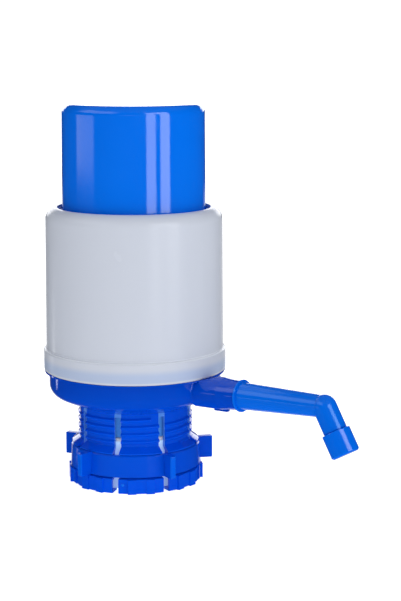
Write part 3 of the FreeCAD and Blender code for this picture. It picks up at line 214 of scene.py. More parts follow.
def use_group(tree: Tree, group: Tree, values: dict[str, float | tuple]) -> bpy.types.Node:
    """Place a node group with values of its own.

    Args:
        tree: Node tree that it goes into.
        group: The group.
        values: Its inputs by name.

    Returns:
        The group's node.
    """
    node = tree.nodes.new("ShaderNodeGroup")
    node.node_tree = group
    for label, value in values.items():
        node.inputs[label].default_value = value
    return node


# --------------------------------------------------------------------------- node groups


class Effects:
    """Shader node groups that several finishes share, and the noise settings inside them."""

    SKIN_DETAIL = 3.0
    CLOUD_SCALE = 35.0
    CLOUD_DETAIL = 4.0
    CLOUD_RANGE = (0.3, 0.7)
    DRIFT_DETAIL = 2.0
    DRIFT_RANGE = (0.32, 0.68)
    MARK_DETAIL = 6.0
    MARK_ROUGHNESS = 0.7
    MARK_RANGE = (0.6, 0.75)

    def __init__(self) -> None:
        """Build each group once."""
        self.grain = self._grain()
        self.drift = self._drift()
        self.rubbed = self._rubbed()
        self.painted_band = self._painted_band()

    @staticmethod
    def _group(name: str, inputs: dict[str, float | tuple], outputs: dict[str, str]) -> Tree:
        """Make an empty node group with named sockets.

        Args:
            name: Name of the group.
            inputs: Socket names with their default values, a tuple for a colour.
            outputs: Socket names with their socket types.

        Returns:
            The group, with one input node and one output node.
        """
        group = bpy.data.node_groups.new(name, "ShaderNodeTree")
        for label, default in inputs.items():
            kind = "NodeSocketColor" if isinstance(default, tuple) else "NodeSocketFloat"
            socket = group.interface.new_socket(label, in_out="INPUT", socket_type=kind)
            socket.default_value = default
        for label, kind in outputs.items():
            group.interface.new_socket(label, in_out="OUTPUT", socket_type=kind)
        group.nodes.new("NodeGroupInput")
        group.nodes.new("NodeGroupOutput")
        return group

    @staticmethod
    def _ends(group: Tree) -> tuple[bpy.types.Node, bpy.types.Node]:
        """Input and output node of a group."""
        return group.nodes["Group Input"], group.nodes["Group Output"]

    @staticmethod
    def _noise(group: Tree, place: Socket, scale: Value, detail: float, roughness: float = 0.5) -> Socket:
        """Add a noise texture.

        Args:
            group: Node group that it goes into.
            place: Where on the piece it is read.
            scale: How fine it is.
            detail: How many finer layers it has.
            roughness: How strong the finer layers are.

        Returns:
            Its value.
        """
        node = group.nodes.new("ShaderNodeTexNoise")
        group.links.new(place, node.inputs["Vector"])
        feed(group, scale, node.inputs["Scale"])
        node.inputs["Detail"].default_value = detail
        node.inputs["Roughness"].default_value = roughness
        return node.outputs["Fac"]

    def _grain(self) -> Tree:
        """Fine moulded skin.

        Returns:
            A group with a height for a bump and a roughness that changes over the surface.
        """
        group = self._group(
            "Moulded Grain",
            {"Scale": 900.0, "Smooth": 0.2, "Rough": 0.3},
            {"Height": "NodeSocketFloat", "Roughness": "NodeSocketFloat"},
        )
        start, end = self._ends(group)
        place = group.nodes.new("ShaderNodeTexCoord").outputs["Object"]
        skin = self._noise(group, place, start.outputs["Scale"], self.SKIN_DETAIL)
        cloud = self._noise(group, place, self.CLOUD_SCALE, self.CLOUD_DETAIL)
        roughness = ramp(
            group, cloud, *self.CLOUD_RANGE, Ramp.EVEN, start.outputs["Smooth"], start.outputs["Rough"])
        group.links.new(skin, end.inputs["Height"])
        group.links.new(roughness, end.inputs["Roughness"])
        return group

    def _drift(self) -> Tree:
        """Slow change between two colours along the flow of the plastic.

        Returns:
            A group with the colour.
        """
        group = self._group(
            "Tone Drift",
            {"Light": (1.0, 1.0, 1.0, 1.0), "Deep": (0.5, 0.5, 0.5, 1.0), "Scale": 14.0, "Stretch": 0.25},
            {"Colour": "NodeSocketColor"},
        )
        start, end = self._ends(group)
        across, along, up = object_place(group)
        flow = group.nodes.new("ShaderNodeCombineXYZ")
        stretched = calculate(group, "MULTIPLY", up, start.outputs["Stretch"])
        for part, axis in ((across, "X"), (along, "Y"), (stretched, "Z")):
            group.links.new(part, flow.inputs[axis])
        noise = self._noise(group, flow.outputs["Vector"], start.outputs["Scale"], self.DRIFT_DETAIL)
        share = ramp(group, noise, *self.DRIFT_RANGE)
        colour = tint(group, share, start.outputs["Deep"], start.outputs["Light"])
        group.links.new(colour, end.inputs["Colour"])
        return group

    def _rubbed(self) -> Tree:
        """Sparse faint patches that handling has worn.

        Returns:
            A group with their mask.
        """
        group = self._group(
            "Handling Marks",
            {"Scale": 60.0, "Amount": 0.5},
            {"Mask": "NodeSocketFloat"},
        )
        start, end = self._ends(group)
        place = group.nodes.new("ShaderNodeTexCoord").outputs["Object"]
        noise = self._noise(group, place, start.outputs["Scale"], self.MARK_DETAIL, self.MARK_ROUGHNESS)
        patches = ramp(group, noise, *self.MARK_RANGE, Ramp.EVEN)
        mask = calculate(group, "MULTIPLY", patches, start.outputs["Amount"])
        group.links.new(mask, end.inputs["Mask"])
        return group

    def _painted_band(self) -> Tree:
        """Where a band of painted light lies: between two heights and outside a radius about the pump's
        axis.

        Returns:
            A group with its mask.
        """
        group = self._group(
            "Height and Radius Band",
            {
                "Foot": 0.0, "Foot Fade": 1.0 * MM,
                "Top": 1.0, "Top Fade": 1.0 * MM,
                "Radius": -1.0, "Radius Fade": 0.5 * MM,
            },
            {"Mask": "NodeSocketFloat"},
        )
        start, end = self._ends(group)
        across, along, up = object_place(group)

        def edge(source: Socket, limit: str) -> Socket:
            """Smooth rise from 0 at a limit to 1 at its fade beyond it."""
            far = calculate(group, "ADD", start.outputs[limit], start.outputs[f"{limit} Fade"])
            return ramp(group, source, start.outputs[limit], far)

        below = calculate(group, "SUBTRACT", 1.0, edge(up, "Top"))
        between = calculate(group, "MULTIPLY", edge(up, "Foot"), below)
        outside = edge(axis_distance(group, across, along), "Radius")
        mask = calculate(group, "MULTIPLY", between, outside)
        group.links.new(mask, end.inputs["Mask"])
        return group


# --------------------------------------------------------------------------- finishes


@dataclass(frozen=True)
class Finish:
    """A moulded plastic, rubber or metal surface with grain and a slow drift in tone."""

    name: str
    light: Tone
    deep: Tone
    smooth: float
    rough: float
    marks: float = 0.0
    metallic: float = 0.0
    specular: float = 0.5
    gloss_tint: Tone = (1.0, 1.0, 1.0)
    # Emission in the finish's light colour: painted glow, as if light shone through the piece.
    glow: float = 0.0
    drift_scale: float = 14.0
    stretch: float = 0.25
    grain_scale: float = 900.0
    grain_strength: float = 0.04
    grain_height: float = 0.2 * MM

    def build(self, effects: Effects) -> bpy.types.Material:
        """Make the material.

        Args:
            effects: The shared node groups.

        Returns:
            A node material ready to be assigned.
        """
        material = bpy.data.materials.new(self.name)
        material.use_nodes = True
        tree = material.node_tree
        shader = tree.nodes["Principled BSDF"]
        drift = use_group(tree, effects.drift, {
            "Light": (*self.light, 1.0),
            "Deep": (*self.deep, 1.0),
            "Scale": self.drift_scale,
            "Stretch": self.stretch,
        })
        grain = use_group(tree, effects.grain, {
            "Scale": self.grain_scale,
            "Smooth": self.smooth,
            "Rough": self.rough,
        })
        marks = use_group(tree, effects.rubbed, {"Amount": self.marks})
        roughness = calculate(tree, "ADD", grain.outputs["Roughness"], marks.outputs["Mask"])
        bump = tree.nodes.new("ShaderNodeBump")
        bump.inputs["Strength"].default_value = self.grain_strength
        bump.inputs["Distance"].default_value = self.grain_height
        tree.links.new(grain.outputs["Height"], bump.inputs["Height"])
        tree.links.new(drift.outputs["Colour"], shader.inputs["Base Color"])
        tree.links.new(roughness, shader.inputs["Roughness"])
        tree.links.new(bump.outputs["Normal"], shader.inputs["Normal"])
        shader.inputs["Metallic"].default_value = self.metallic
        shader.inputs["Specular IOR Level"].default_value = self.specular
        shader.inputs["Specular Tint"].default_value = (*self.gloss_tint, 1.0)
        # Painted glow: the surface emits its own light colour by the glow strength.
        shader.inputs["Emission Color"].default_value = (*self.light, 1.0)
        shader.inputs["Emission Strength"].default_value = self.glow
        return material


@dataclass(frozen=True)
class PaintedLightBand:
    """A band of painted light: its colour, its heights and the radius beyond which it lies."""

    colour: Tone
    foot: float
    top: float
    foot_fade: float = 0.4 * MM
    top_fade: float = 0.4 * MM
    radius: float = -1.0
    radius_fade: float = 0.4 * MM
    tinting: Tinting = Tinting.COVER


@dataclass(frozen=True)
class PaintedLightPlastic(Finish):
    """Plastic with bands of painted light in another tone, standing for light that shines through it in
    places or for highlights.
    """

    painted_bands: tuple[PaintedLightBand, ...] = ()

    def build(self, effects: Effects) -> bpy.types.Material:
        """Make the material.

        Args:
            effects: The shared node groups.

        Returns:
            The material with its bands of painted light.
        """
        material = super().build(effects)
        tree = material.node_tree
        base = tree.nodes["Principled BSDF"].inputs["Base Color"]
        colour = base.links[0].from_socket
        # Each band lays its painted light over the colour under it.
        for painted_band in self.painted_bands:
            mask = use_group(tree, effects.painted_band, {
                "Foot": painted_band.foot,
                "Foot Fade": painted_band.foot_fade,
                "Top": painted_band.top,
                "Top Fade": painted_band.top_fade,
                "Radius": painted_band.radius,
                "Radius Fade": painted_band.radius_fade,
            })
            colour = tint(tree, mask.outputs["Mask"], colour, painted_band.colour, painted_band.tinting)
        tree.links.new(colour, base)
        return material


@dataclass(frozen=True)
class SlottedPlastic(Finish):
    """Plastic whose thin edges along the fingers' slots are painted paler: painted light, standing for
    light that shines through them.
    """

    # Paler colour painted as light along the slots' edges.
    edge: Tone = (0.1, 0.3, 0.86)
    slots: int = 8
    half_width: float = 1.9 * MM
    line: float = 0.3 * MM
    root: float = 34.1 * MM

    def build(self, effects: Effects) -> bpy.types.Material:
        """Make the material.

        Args:
            effects: The shared node groups.

        Returns:
            The collet's material with painted light along its slot edges.
        """
        material = super().build(effects)
        tree = material.node_tree
        base = tree.nodes["Principled BSDF"].inputs["Base Color"]
        plain = base.links[0].from_socket
        across, along, _ = object_place(tree)
        turn = 2.0 * math.pi / self.slots
        angle = calculate(tree, "ARCTAN2", along, across)
        turned = calculate(tree, "ADD", angle, 2.0 * math.pi + turn / 2.0)
        sine = calculate(tree, "SINE", calculate(tree, "PINGPONG", turned, turn / 2.0))
        offset = calculate(tree, "MULTIPLY", sine, axis_distance(tree, across, along))
        # Painted light: paler near each slot's sides, except outside the root radius.
        near = ramp(tree, offset, self.half_width + self.line, self.half_width)
        crest = use_group(tree, effects.painted_band, {"Radius": self.root, "Radius Fade": self.line})
        painted_light_mask = calculate(tree, "SUBTRACT", near, crest.outputs["Mask"])
        tree.links.new(tint(tree, painted_light_mask, plain, self.edge), base)
        return material


GLOSSY = {"smooth": 0.06, "rough": 0.1, "marks": 0.04}
BLUE_BASE = Finish("Deep Blue Base", (0.0, 0.066, 0.58), (0.0, 0.058, 0.53), **GLOSSY)
SLOT_FINISHES: dict[str, Finish] = {
    "blue_cap": Finish("Clear Blue Cap", (0.0, 0.165, 0.86), (0.0, 0.15, 0.82), **GLOSSY),
    "blue_base": BLUE_BASE,
    "blue_spout": Finish(
        "Deep Blue Spout", (0.0, 0.145, 0.8), (0.0, 0.13, 0.76), 0.1, 0.14, marks=0.04,
        gloss_tint=(0.6, 0.95, 1.0),
    ),
    "white_shell": PaintedLightPlastic(
        "Milky Casing", (0.6, 0.64, 0.73), (0.57, 0.61, 0.7), 0.2, 0.28, marks=0.01, specular=0.28,
        painted_bands=(
            # Painted light: a bluish filter low on the casing, standing for the blue base seen through it,
            # fading upwards.
            PaintedLightBand((0.76, 0.85, 1.0), 70.2 * MM, 74.0 * MM, top_fade=4.5 * MM, tinting=Tinting.FILTER),
            # Painted light: a paler line at the band's top step that covers the shade in its crease.
            PaintedLightBand((0.7, 0.74, 0.83), 81.2 * MM, 82.3 * MM, 0.5 * MM, 0.8 * MM),
        ),
    ),
    "inner_plastic": Finish("Natural Plastic", (0.8, 0.8, 0.78), (0.72, 0.72, 0.7), 0.35, 0.5),
    # Painted glow: the liner emits its own colour, standing for light that shines through it.
    "pale_liner": Finish("Pale Liner", (0.56, 0.78, 1.0), (0.52, 0.75, 0.98), 0.3, 0.45, glow=0.3),
    "pale_gasket": Finish("Pale Silicone", (0.84, 0.85, 0.85), (0.76, 0.77, 0.78), 0.5, 0.65),
    "bellows_rubber": Finish("Bellows Rubber", (0.66, 0.67, 0.68), (0.56, 0.57, 0.58), 0.45, 0.6),
    "seal_rubber": Finish("Seal Rubber", (0.03, 0.03, 0.03), (0.018, 0.018, 0.018), 0.45, 0.6),
    "spring_steel": Finish("Spring Steel", (0.6, 0.6, 0.61), (0.5, 0.5, 0.51), 0.22, 0.34, metallic=1.0),
    "screw_steel": Finish("Screw Steel", (0.62, 0.62, 0.63), (0.52, 0.52, 0.53), 0.25, 0.38, metallic=1.0),
}
NODE_FINISHES: dict[str, Finish] = {
    "neck_collet": SlottedPlastic("Slotted Blue", (0.0, 0.092, 0.8), (0.0, 0.082, 0.74), **GLOSSY),
    "ring_nut": PaintedLightPlastic(
        "Nut Blue", (0.0, 0.085, 0.72), (0.0, 0.075, 0.66), **GLOSSY,
        # Painted highlight: paler blue on the end faces of the nut's lugs.
        painted_bands=(PaintedLightBand((0.0, 0.12, 0.8), 9.0 * MM, 40.0 * MM, radius=47.2 * MM),),
    ),
    "base": PaintedLightPlastic(
        "Bowl Blue", BLUE_BASE.light, BLUE_BASE.deep, **GLOSSY,
        # Painted light: paler blue on the spigot, standing for light through its thin wall.
        painted_bands=(PaintedLightBand((0.1, 0.4, 0.95), 20.0 * MM, 45.7 * MM, top_fade=0.3 * MM),),
    ),
    "dust_cap": Finish("Hood Blue", (0.0, 0.15, 0.83), (0.0, 0.135, 0.79), 0.07, 0.11, marks=0.04),
}


# --------------------------------------------------------------------------- pieces


class Bench:
    """Hand tools for one piece at a time."""

    @staticmethod
    def take(name: str) -> bpy.types.Object:
        """Name the primitive that was just added and put its place into its mesh.

        Args:
            name: Name of the piece.

        Returns:
            The piece.
        """
        piece = bpy.context.object
        piece.name = name
        piece.data.name = name
        bpy.ops.object.transform_apply(location=True, rotation=True, scale=True)
        return piece

    @staticmethod
    def ring(name: str, radius: float, height: float, sides: int) -> bpy.types.Object:
        """Start a piece as an open ring about the pump's axis.

        Args:
            name: Name of the piece.
            radius: Radius of the ring.
            height: Its Z.
            sides: Number of its edges.

        Returns:
            The piece, in edit mode with the ring selected.
        """
        bpy.ops.object.select_all(action="DESELECT")
        bpy.ops.mesh.primitive_circle_add(vertices=sides, radius=radius, location=(0.0, 0.0, height))
        piece = Bench.take(name)
        bpy.ops.object.mode_set(mode="EDIT")
        bpy.ops.mesh.select_mode(type="VERT")
        bpy.ops.mesh.select_all(action="SELECT")
        return piece

    @staticmethod
    def draw(start: tuple[float, float], corners: list[tuple[float, float]]) -> None:
        """Extrude the selected ring from corner to corner, each a radius and a height.

        Args:
            start: Radius and height of the selected ring.
            corners: Where it goes, one extrusion each.
        """
        radius, height = start
        for wider, higher in corners:
            bpy.ops.mesh.extrude_region_move(TRANSFORM_OT_translate={"value": (0.0, 0.0, higher - height)})
            if wider != radius:
                bpy.ops.transform.resize(
                    value=(wider / radius, wider / radius, 1.0), center_override=(0.0, 0.0, higher))
            radius, height = wider, higher

    @staticmethod
    def pick(piece: bpy.types.Object, height: float) -> None:
        """Select only the piece's corners at one height.

        Args:
            piece: The piece, in edit mode or not.
            height: Z of the corners.
        """
        bpy.ops.object.mode_set(mode="OBJECT")
        for item in (*piece.data.vertices, *piece.data.edges, *piece.data.polygons):
            item.select = False
        for vertex in piece.data.vertices:
            vertex.select = abs(vertex.co.z - height) < TOUCHING
        bpy.ops.object.mode_set(mode="EDIT")
        bpy.ops.mesh.select_mode(type="VERT")

    @staticmethod
    def close(angle: float = 50.0) -> None:
        """Merge doubles, point the faces outwards, leave edit mode and smooth the piece.

        Args:
            angle: Edges that turn by more degrees than this stay sharp.
        """
        bpy.ops.mesh.select_all(action="SELECT")
        bpy.ops.mesh.remove_doubles(threshold=TOUCHING)
        bpy.ops.mesh.normals_make_consistent(inside=False)
        bpy.ops.object.mode_set(mode="OBJECT")
        bpy.ops.object.shade_smooth_by_angle(angle=math.radians(angle))

    @staticmethod
    def modify(piece: bpy.types.Object, kind: str, **settings: object) -> None:
        """Add a modifier with its settings and apply it.

        Args:
            piece: The piece.
            kind: Type of the modifier.
            settings: Its settings by name.
        """
        modifier = piece.modifiers.new(kind.title(), kind)
        for name, value in settings.items():
            setattr(modifier, name, value)
        bpy.context.view_layer.objects.active = piece
        bpy.ops.object.modifier_apply(modifier=modifier.name)


@dataclass
class AirChamber:
    """Pleated bellows and the spring inside it, built at rest; the real ones shorten as the cap goes down.
    """

    foot: float = 73.0 * MM
    top: float = 219.8 * MM
    neck: float = 6.0 * MM
    pleats: int = 10
    crest: float = 37.9 * MM
    valley: float = 31.4 * MM
    neck_radius: float = 31.3 * MM
    neck_step: float = 0.4 * MM
    foot_radius: float = 42.3 * MM
    foot_height: float = 2.0 * MM
    foot_bend: float = 1.0 * MM
    edge_width: float = 0.6 * MM
    edge_drop: float = 0.5 * MM
    edge_gap: float = 0.1 * MM
    wall: float = 1.2 * MM
    sides: int = 72
    sharp: float = 60.0
    coils: int = 9
    coil_radius: float = 16.0 * MM
    coil_sides: int = 44
    wire: float = 0.9 * MM
    wire_sides: int = 14
    spring_foot: float = 72.8 * MM
    spring_top: float = 220.0 * MM
    stroke: float = 48.0 * MM
    # Corners of one pleat, each a share of the pitch upwards and a share of the depth outwards.
    pleat: tuple[tuple[float, float], ...] = (
        (0.06, 0.0), (0.1, 0.035), (0.4, 0.84), (0.44, 0.95), (0.5, 1.0),
        (0.56, 0.95), (0.6, 0.84), (0.9, 0.035), (0.94, 0.0), (1.0, 0.0),
    )

    def bellows(self, material: bpy.types.Material) -> bpy.types.Object:
        """Rounded pleats between a foot flange and a neck.

        Args:
            material: Finish of the bellows.

        Returns:
            The piece, in place of the plain node.
        """
        low, high = self.foot + self.neck, self.top - self.neck
        pitch = (high - low) / self.pleats
        depth = self.crest - self.valley
        piece = Bench.ring("bellows_pleats", self.valley, low, self.sides)
        Bench.draw(
            (self.valley, low),
            [(self.valley + depth * out, low + pitch * up) for up, out in self.pleat],
        )
        bpy.ops.object.mode_set(mode="OBJECT")
        Bench.modify(
            piece, "ARRAY", count=self.pleats, use_relative_offset=False, use_constant_offset=True,
            constant_offset_displace=(0.0, 0.0, pitch), use_merge_vertices=True, merge_threshold=TOUCHING,
        )
        flange = self.foot + self.foot_height
        Bench.pick(piece, low)
        Bench.draw((self.valley, low), [
            (self.neck_radius, low - self.neck_step),
            (self.neck_radius, flange + self.foot_bend),
            (self.neck_radius + self.foot_bend * ROUNDED, flange + self.foot_bend * ROUNDED),
            (self.neck_radius + self.foot_bend, flange),
            (self.foot_radius - self.edge_width, flange),
            (self.foot_radius, flange - self.edge_drop),
            (self.foot_radius, self.foot + self.edge_gap),
        ])
        Bench.pick(piece, low + pitch * self.pleats)
        Bench.draw((self.valley, low + pitch * self.pleats), [
            (self.neck_radius, high + self.neck_step),
            (self.neck_radius, self.top),
        ])
        Bench.close(self.sharp)
        Bench.modify(piece, "SOLIDIFY", thickness=self.wall, offset=-1.0, use_even_offset=True)
        return self._fit(piece, material, "air_bellows")

    def spring(self, material: bpy.types.Material) -> bpy.types.Object:
        """Round wire wound evenly from the deck to the bellows head.

        Args:
            material: Finish of the wire.

        Returns:
            The piece, in place of the plain node.
        """
        start = self.spring_foot + self.wire
        rise = (self.spring_top - self.wire - start) / self.coils
        bpy.ops.object.select_all(action="DESELECT")
        bpy.ops.mesh.primitive_circle_add(
            vertices=self.wire_sides, radius=self.wire, location=(self.coil_radius, 0.0, start),
            rotation=(math.pi / 2.0, 0.0, 0.0),
        )
        piece = Bench.take("spring_wire")
        Bench.modify(
            piece, "SCREW", angle=2.0 * math.pi, screw_offset=rise, iterations=self.coils,
            steps=self.coil_sides, render_steps=self.coil_sides,
            use_merge_vertices=True, merge_threshold=TOUCHING,
        )
        bpy.ops.object.mode_set(mode="EDIT")
        bpy.ops.mesh.select_all(action="SELECT")
        bpy.ops.mesh.fill_holes(sides=self.wire_sides)
        Bench.close()
        return self._fit(
            piece, material, "return_spring",
        )

    def _fit(self, piece: bpy.types.Object, material: bpy.types.Material, node: str) -> bpy.types.Object:
        """Give a piece its finish, hide its node and attach the piece to the pump's body in its place.

        Args:
            piece: The piece.
            material: Its finish.
            node: The plain node that it stands for.

        Returns:
            The piece.
        """
        piece.data.materials.append(material)
        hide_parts(node)
        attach(piece, Body.PUMP.value)
        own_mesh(piece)
        return piece


@dataclass
class NeckSeal:
    """Soft washer between the spigot and the liner, with a groove moulded in its upper side."""

    inner: float = 22.2 * MM
    outer: float = 31.5 * MM
    under: float = 29.6 * MM
    top: float = 31.8 * MM
    rounding: float = 0.35 * MM
    seam: float = 1.0 * MM
    groove: float = 1.2 * MM
    groove_floor: float = 0.8 * MM
    groove_depth: float = 0.4 * MM
    heel: float = 2.2 * MM
    heel_step: float = 1.2 * MM
    heel_rise: float = 0.3 * MM
    sides: int = 96

    def washer(self, material: bpy.types.Material) -> bpy.types.Object:
        """Draw the washer's rounded section as rings about the axis.

        Args:
            material: Finish of the washer.

        Returns:
            The piece, in place of the plain node.
        """
        middle = (self.inner + self.outer) / 2.0
        cut = self.rounding * ROUNDED
        start = (self.inner, self.top - self.seam)
        piece = Bench.ring("neck_seal", *start, self.sides)
        Bench.draw(start, [
            (self.inner, self.top - self.rounding),
            (self.inner + cut, self.top - cut),
            (self.inner + self.rounding, self.top),
            (middle - self.groove, self.top),
            (middle - self.groove_floor, self.top - self.groove_depth),
            (middle + self.groove_floor, self.top - self.groove_depth),
            (middle + self.groove, self.top),
            (self.outer - self.rounding, self.top),
            (self.outer - cut, self.top - cut),
            (self.outer, self.top - self.rounding),
            (self.outer, self.under + self.rounding),
            (self.outer - cut, self.under + cut),
            (self.outer - self.rounding, self.under),
            (self.inner + self.heel, self.under),
            (self.inner + self.heel_step, self.under + self.heel_rise),
            start,
        ])
        Bench.close()
        piece.data.materials.append(material)
        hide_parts("neck_gasket")
        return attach(piece, Body.PUMP.value)


@dataclass
class GateMark:
    """Small round stub that the moulding gate leaves on the face of one finger's flare."""

    face: float = 40.2 * MM
    turn: float = -60.8
    height: float = 5.6 * MM
    radius: float = 0.9 * MM
    sunk: float = 0.3 * MM
    stand: float = 0.5 * MM
    # Share of the stand that is straight. Each step of the dome above it is a share of the radius
    # inwards and a share of the stand outwards.
    straight: float = 0.6
    dome: tuple[tuple[float, float], ...] = ((0.3, 0.3), (0.35, 0.1))
    sides: int = 20

    def stub(self, material: bpy.types.Material) -> bpy.types.Object:
        """Low dome with a rounded rim on the flare.

        Args:
            material: Finish of the mark, a lighter blue than the collet's that paints a highlight on it.

        Returns:
            The piece, riding with the collet.
        """
        turn = math.radians(self.turn)
        outward = Vector((math.cos(turn), math.sin(turn), 0.0))
        foot = outward * (self.face - self.sunk) + Vector((0.0, 0.0, self.height))
        rise = outward * (self.sunk + self.stand * self.straight)
        bpy.ops.object.select_all(action="DESELECT")
        bpy.ops.mesh.primitive_circle_add(
            vertices=self.sides, radius=self.radius, location=foot, rotation=(0.0, math.pi / 2.0, turn),
            fill_type="NGON",
        )
        piece = Bench.take("gate_mark")
        bpy.ops.object.mode_set(mode="EDIT")
        bpy.ops.mesh.select_all(action="SELECT")
        bpy.ops.mesh.extrude_region_move(TRANSFORM_OT_translate={"value": rise})
        for inwards, outwards in self.dome:
            bpy.ops.mesh.inset(thickness=self.radius * inwards, depth=self.stand * outwards)
        Bench.close()
        piece.data.materials.append(material)
        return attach(piece, Body.PUMP.value)


# --------------------------------------------------------------------------- studio


@dataclass(frozen=True)
class Card:
    """Lit panel of the studio: edges in degrees to the right of the camera, and lowest and highest Z."""

    left: float
    right: float
    low: float
    high: float
    power: float
    soft: float = 1.0
    fade: float = 0.12


@dataclass
class Floor:
    """Pale round floor under the finger tips, which glows a little and more to the camera."""

    radius: float = 8.0
    sides: int = 96
    tone: float = 0.92
    roughness: float = 0.9
    glow: float = 0.55
    seen_glow: float = 0.8

    def lay(self) -> None:
        """Make the floor and keep it out of glossy rays."""
        bpy.ops.mesh.primitive_circle_add(
            vertices=self.sides, radius=self.radius, fill_type="NGON", location=(0.0, 0.0, 0.0))
        floor = bpy.context.object
        floor.name = "floor"
        material = bpy.data.materials.new("Pale Floor")
        material.use_nodes = True
        tree = material.node_tree
        shader = tree.nodes["Principled BSDF"]
        shader.inputs["Base Color"].default_value = (self.tone, self.tone, self.tone, 1.0)
        shader.inputs["Roughness"].default_value = self.roughness
        shader.inputs["Specular IOR Level"].default_value = 0.0
        shader.inputs["Emission Color"].default_value = (1.0, 1.0, 1.0, 1.0)
        seen = tree.nodes.new("ShaderNodeLightPath").outputs["Is Camera Ray"]
        glow = ramp(tree, seen, 0.0, 1.0, Ramp.EVEN, self.glow, self.seen_glow)
        tree.links.new(glow, shader.inputs["Emission Strength"])
        floor.data.materials.append(material)
        floor.visible_glossy = False


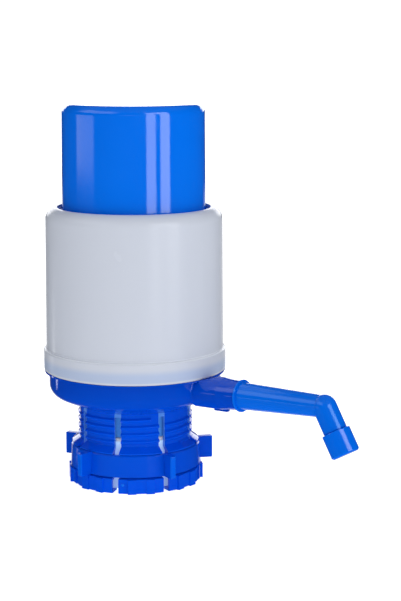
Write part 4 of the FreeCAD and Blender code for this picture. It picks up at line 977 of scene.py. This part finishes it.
@dataclass
class Studio:
    """Camera, light and floor round the pump."""

    azimuth: float = 38.0
    elevation: float = 9.75
    distance: float = 0.95
    lens: float = 93.9
    sensor: float = 36.0
    side_step: float = 0.0399
    height: float = 0.1098
    clip: tuple[float, float] = (0.05, 60.0)
    fill: float = 0.17
    glows: tuple[Card, ...] = (
        Card(-6.0, 66.0, -1.2, 1.2, 0.97, soft=24.0),
        Card(-175.0, -60.0, -1.2, 1.2, 0.02, soft=20.0),
        Card(-200.0, 200.0, 0.5, 1.4, 0.68, fade=0.3),
    )
    gloss_fill: float = 0.02
    ceiling: float = 0.1
    ceiling_fade: tuple[float, float] = (0.5, 0.8)
    cards: tuple[Card, ...] = (
        Card(22.7, 37.8, -0.175, 0.6, 4.1, fade=0.06),
        Card(45.6, 61.9, -0.175, 0.6, 4.6, fade=0.06),
        Card(37.0, 46.4, 0.3, 0.6, 4.8, fade=0.05),
        Card(-100.0, -64.0, -0.087, -0.02, 1.5, soft=3.0, fade=0.016),
        Card(-100.0, -30.0, 0.3, 0.8, 1.6, soft=12.0, fade=0.15),
        Card(-129.0, -125.0, -0.226, -0.172, 4.0, fade=0.008),
        Card(-14.0, 8.0, 0.04, 0.2, 1.0, soft=12.0, fade=0.1),
        Card(155.0, 181.0, -0.8, -0.09, 0.7, soft=6.0, fade=0.015),
        Card(-181.0, -158.0, -0.8, -0.09, 0.7, soft=5.0, fade=0.015),
        Card(152.0, 181.0, 0.01, 0.27, 2.6, soft=4.0, fade=0.02),
        Card(-181.0, -152.0, 0.01, 0.27, 2.6, soft=4.0, fade=0.02),
    )
    backdrop: float = 1.05

    def camera(self) -> None:
        """Put the camera in front of the pump and make it the scene's camera."""
        turn, tilt = math.radians(self.azimuth), math.radians(self.elevation)
        right = Vector((math.cos(turn), math.sin(turn), 0.0))
        back = Vector((math.sin(turn) * math.cos(tilt), -math.cos(turn) * math.cos(tilt), math.sin(tilt)))
        target = right * self.side_step + Vector((0.0, 0.0, self.height))
        data = bpy.data.cameras.new("camera")
        data.lens = self.lens
        data.sensor_width = self.sensor
        data.clip_start, data.clip_end = self.clip
        camera = bpy.data.objects.new("camera", data)
        bpy.context.collection.objects.link(camera)
        camera.location = target + back * self.distance
        camera.rotation_euler = (-back).to_track_quat("-Z", "Y").to_euler()
        bpy.context.scene.camera = camera

    def world(self) -> None:
        """Procedural surround: even light all round, panels that show as reflections, and a backdrop."""
        world = bpy.data.worlds.new("studio")
        bpy.context.scene.world = world
        world.use_nodes = True
        tree = world.node_tree
        tree.nodes.clear()
        angle, height = self._direction(tree)
        glow = self._panels(tree, angle, height, self.glows, self.fill)
        shine = self._panels(tree, angle, height, self.cards, self.gloss_fill)
        overhead = calculate(tree, "MULTIPLY", ramp(tree, height, *self.ceiling_fade), self.ceiling)
        shine = calculate(tree, "ADD", shine, overhead)
        rays = tree.nodes.new("ShaderNodeLightPath")
        surface = self._light(tree, glow)
        for strength, ray in ((shine, "Is Glossy Ray"), (self.backdrop, "Is Camera Ray")):
            mix = tree.nodes.new("ShaderNodeMixShader")
            tree.links.new(rays.outputs[ray], mix.inputs["Fac"])
            tree.links.new(surface, mix.inputs[1])
            tree.links.new(self._light(tree, strength), mix.inputs[2])
            surface = mix.outputs["Shader"]
        out = tree.nodes.new("ShaderNodeOutputWorld")
        tree.links.new(surface, out.inputs["Surface"])
        world.cycles.sampling_method = "NONE"

    def _direction(self, tree: Tree) -> tuple[Socket, Socket]:
        """Add nodes that tell where in the surround a ray goes.

        Args:
            tree: The world's node tree.

        Returns:
            Degrees to the right of the camera, and height as the Z of a unit vector.
        """
        place = tree.nodes.new("ShaderNodeTexCoord").outputs["Generated"]
        flat = tree.nodes.new("ShaderNodeVectorRotate")
        flat.rotation_type = "Z_AXIS"
        flat.inputs["Angle"].default_value = math.radians(90.0 - self.azimuth)
        tree.links.new(place, flat.inputs["Vector"])
        turned = tree.nodes.new("ShaderNodeSeparateXYZ")
        tree.links.new(flat.outputs["Vector"], turned.inputs["Vector"])
        angle = calculate(tree, "ARCTAN2", turned.outputs["Y"], turned.outputs["X"])
        return calculate(tree, "MULTIPLY", angle, 180.0 / math.pi), turned.outputs["Z"]

    @staticmethod
    def _panels(tree: Tree, angle: Socket, height: Socket, cards: tuple[Card, ...], fill: float) -> Socket:
        """Add up panels over an even fill.

        Args:
            tree: The world's node tree.
            angle: Degrees to the right of the camera.
            height: Z of the direction.
            cards: The panels.
            fill: Strength of the even light.

        Returns:
            The strength in every direction.
        """
        total = fill
        for card in cards:
            edges = (
                ramp(tree, angle, card.left - card.soft, card.left + card.soft),
                ramp(tree, angle, card.right + card.soft, card.right - card.soft),
                ramp(tree, height, card.low, card.low + card.fade),
                ramp(tree, height, card.high, card.high - card.fade),
            )
            lit = card.power
            for edge in edges:
                lit = calculate(tree, "MULTIPLY", edge, lit)
            total = calculate(tree, "ADD", lit, total)
        return total

    @staticmethod
    def _light(tree: Tree, strength: Value) -> Socket:
        """Add white light.

        Args:
            tree: The world's node tree.
            strength: How strong it is.

        Returns:
            Its shader.
        """
        layer = tree.nodes.new("ShaderNodeBackground")
        layer.inputs["Color"].default_value = (1.0, 1.0, 1.0, 1.0)
        feed(tree, strength, layer.inputs["Strength"])
        return layer.outputs["Background"]

    def build(self) -> None:
        """Set up the whole studio."""
        self.camera()
        self.world()
        Floor().lay()
        bpy.context.scene.view_settings.view_transform = "Standard"


# --------------------------------------------------------------------------- scene


def dress_nodes(frame: dict, materials: dict[str, bpy.types.Material],
                special: dict[str, bpy.types.Material]) -> None:
    """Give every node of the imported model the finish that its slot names, or its own.

    Args:
        materials: Materials by slot.
        special: Materials of nodes that have one of their own.
    """
    for part in frame["record"]["subparts"]:
        node = frame["nodes"][part["node"]]
        material = special.get(part["node"], materials[part["material_slot"]])
        node.data.materials.clear()
        node.data.materials.append(material)
        LOG.info("dressed %s in %s", part["node"], material.name)


def main() -> None:
    """Build the scene in order."""
    logging.basicConfig(level=logging.INFO, format="%(name)s: %(message)s")
    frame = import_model()
    bpy.ops.object.select_all(action="DESELECT")
    effects = Effects()
    materials = {slot: finish.build(effects) for slot, finish in SLOT_FINISHES.items()}
    special = {node: finish.build(effects) for node, finish in NODE_FINISHES.items()}
    dress_nodes(frame, materials, special)
    chamber = AirChamber()
    pieces = (
        chamber.bellows(materials["bellows_rubber"]),
        chamber.spring(materials["spring_steel"]),
        NeckSeal().washer(materials["pale_gasket"]),
        # The gate mark takes the cap's lighter blue as a painted highlight.
        GateMark().stub(materials["blue_cap"]),
    )
    for piece in pieces:
        LOG.info("made %s with %d faces", piece.name, len(piece.data.polygons))
    Studio().build()


if __name__ == "__main__":
    main()
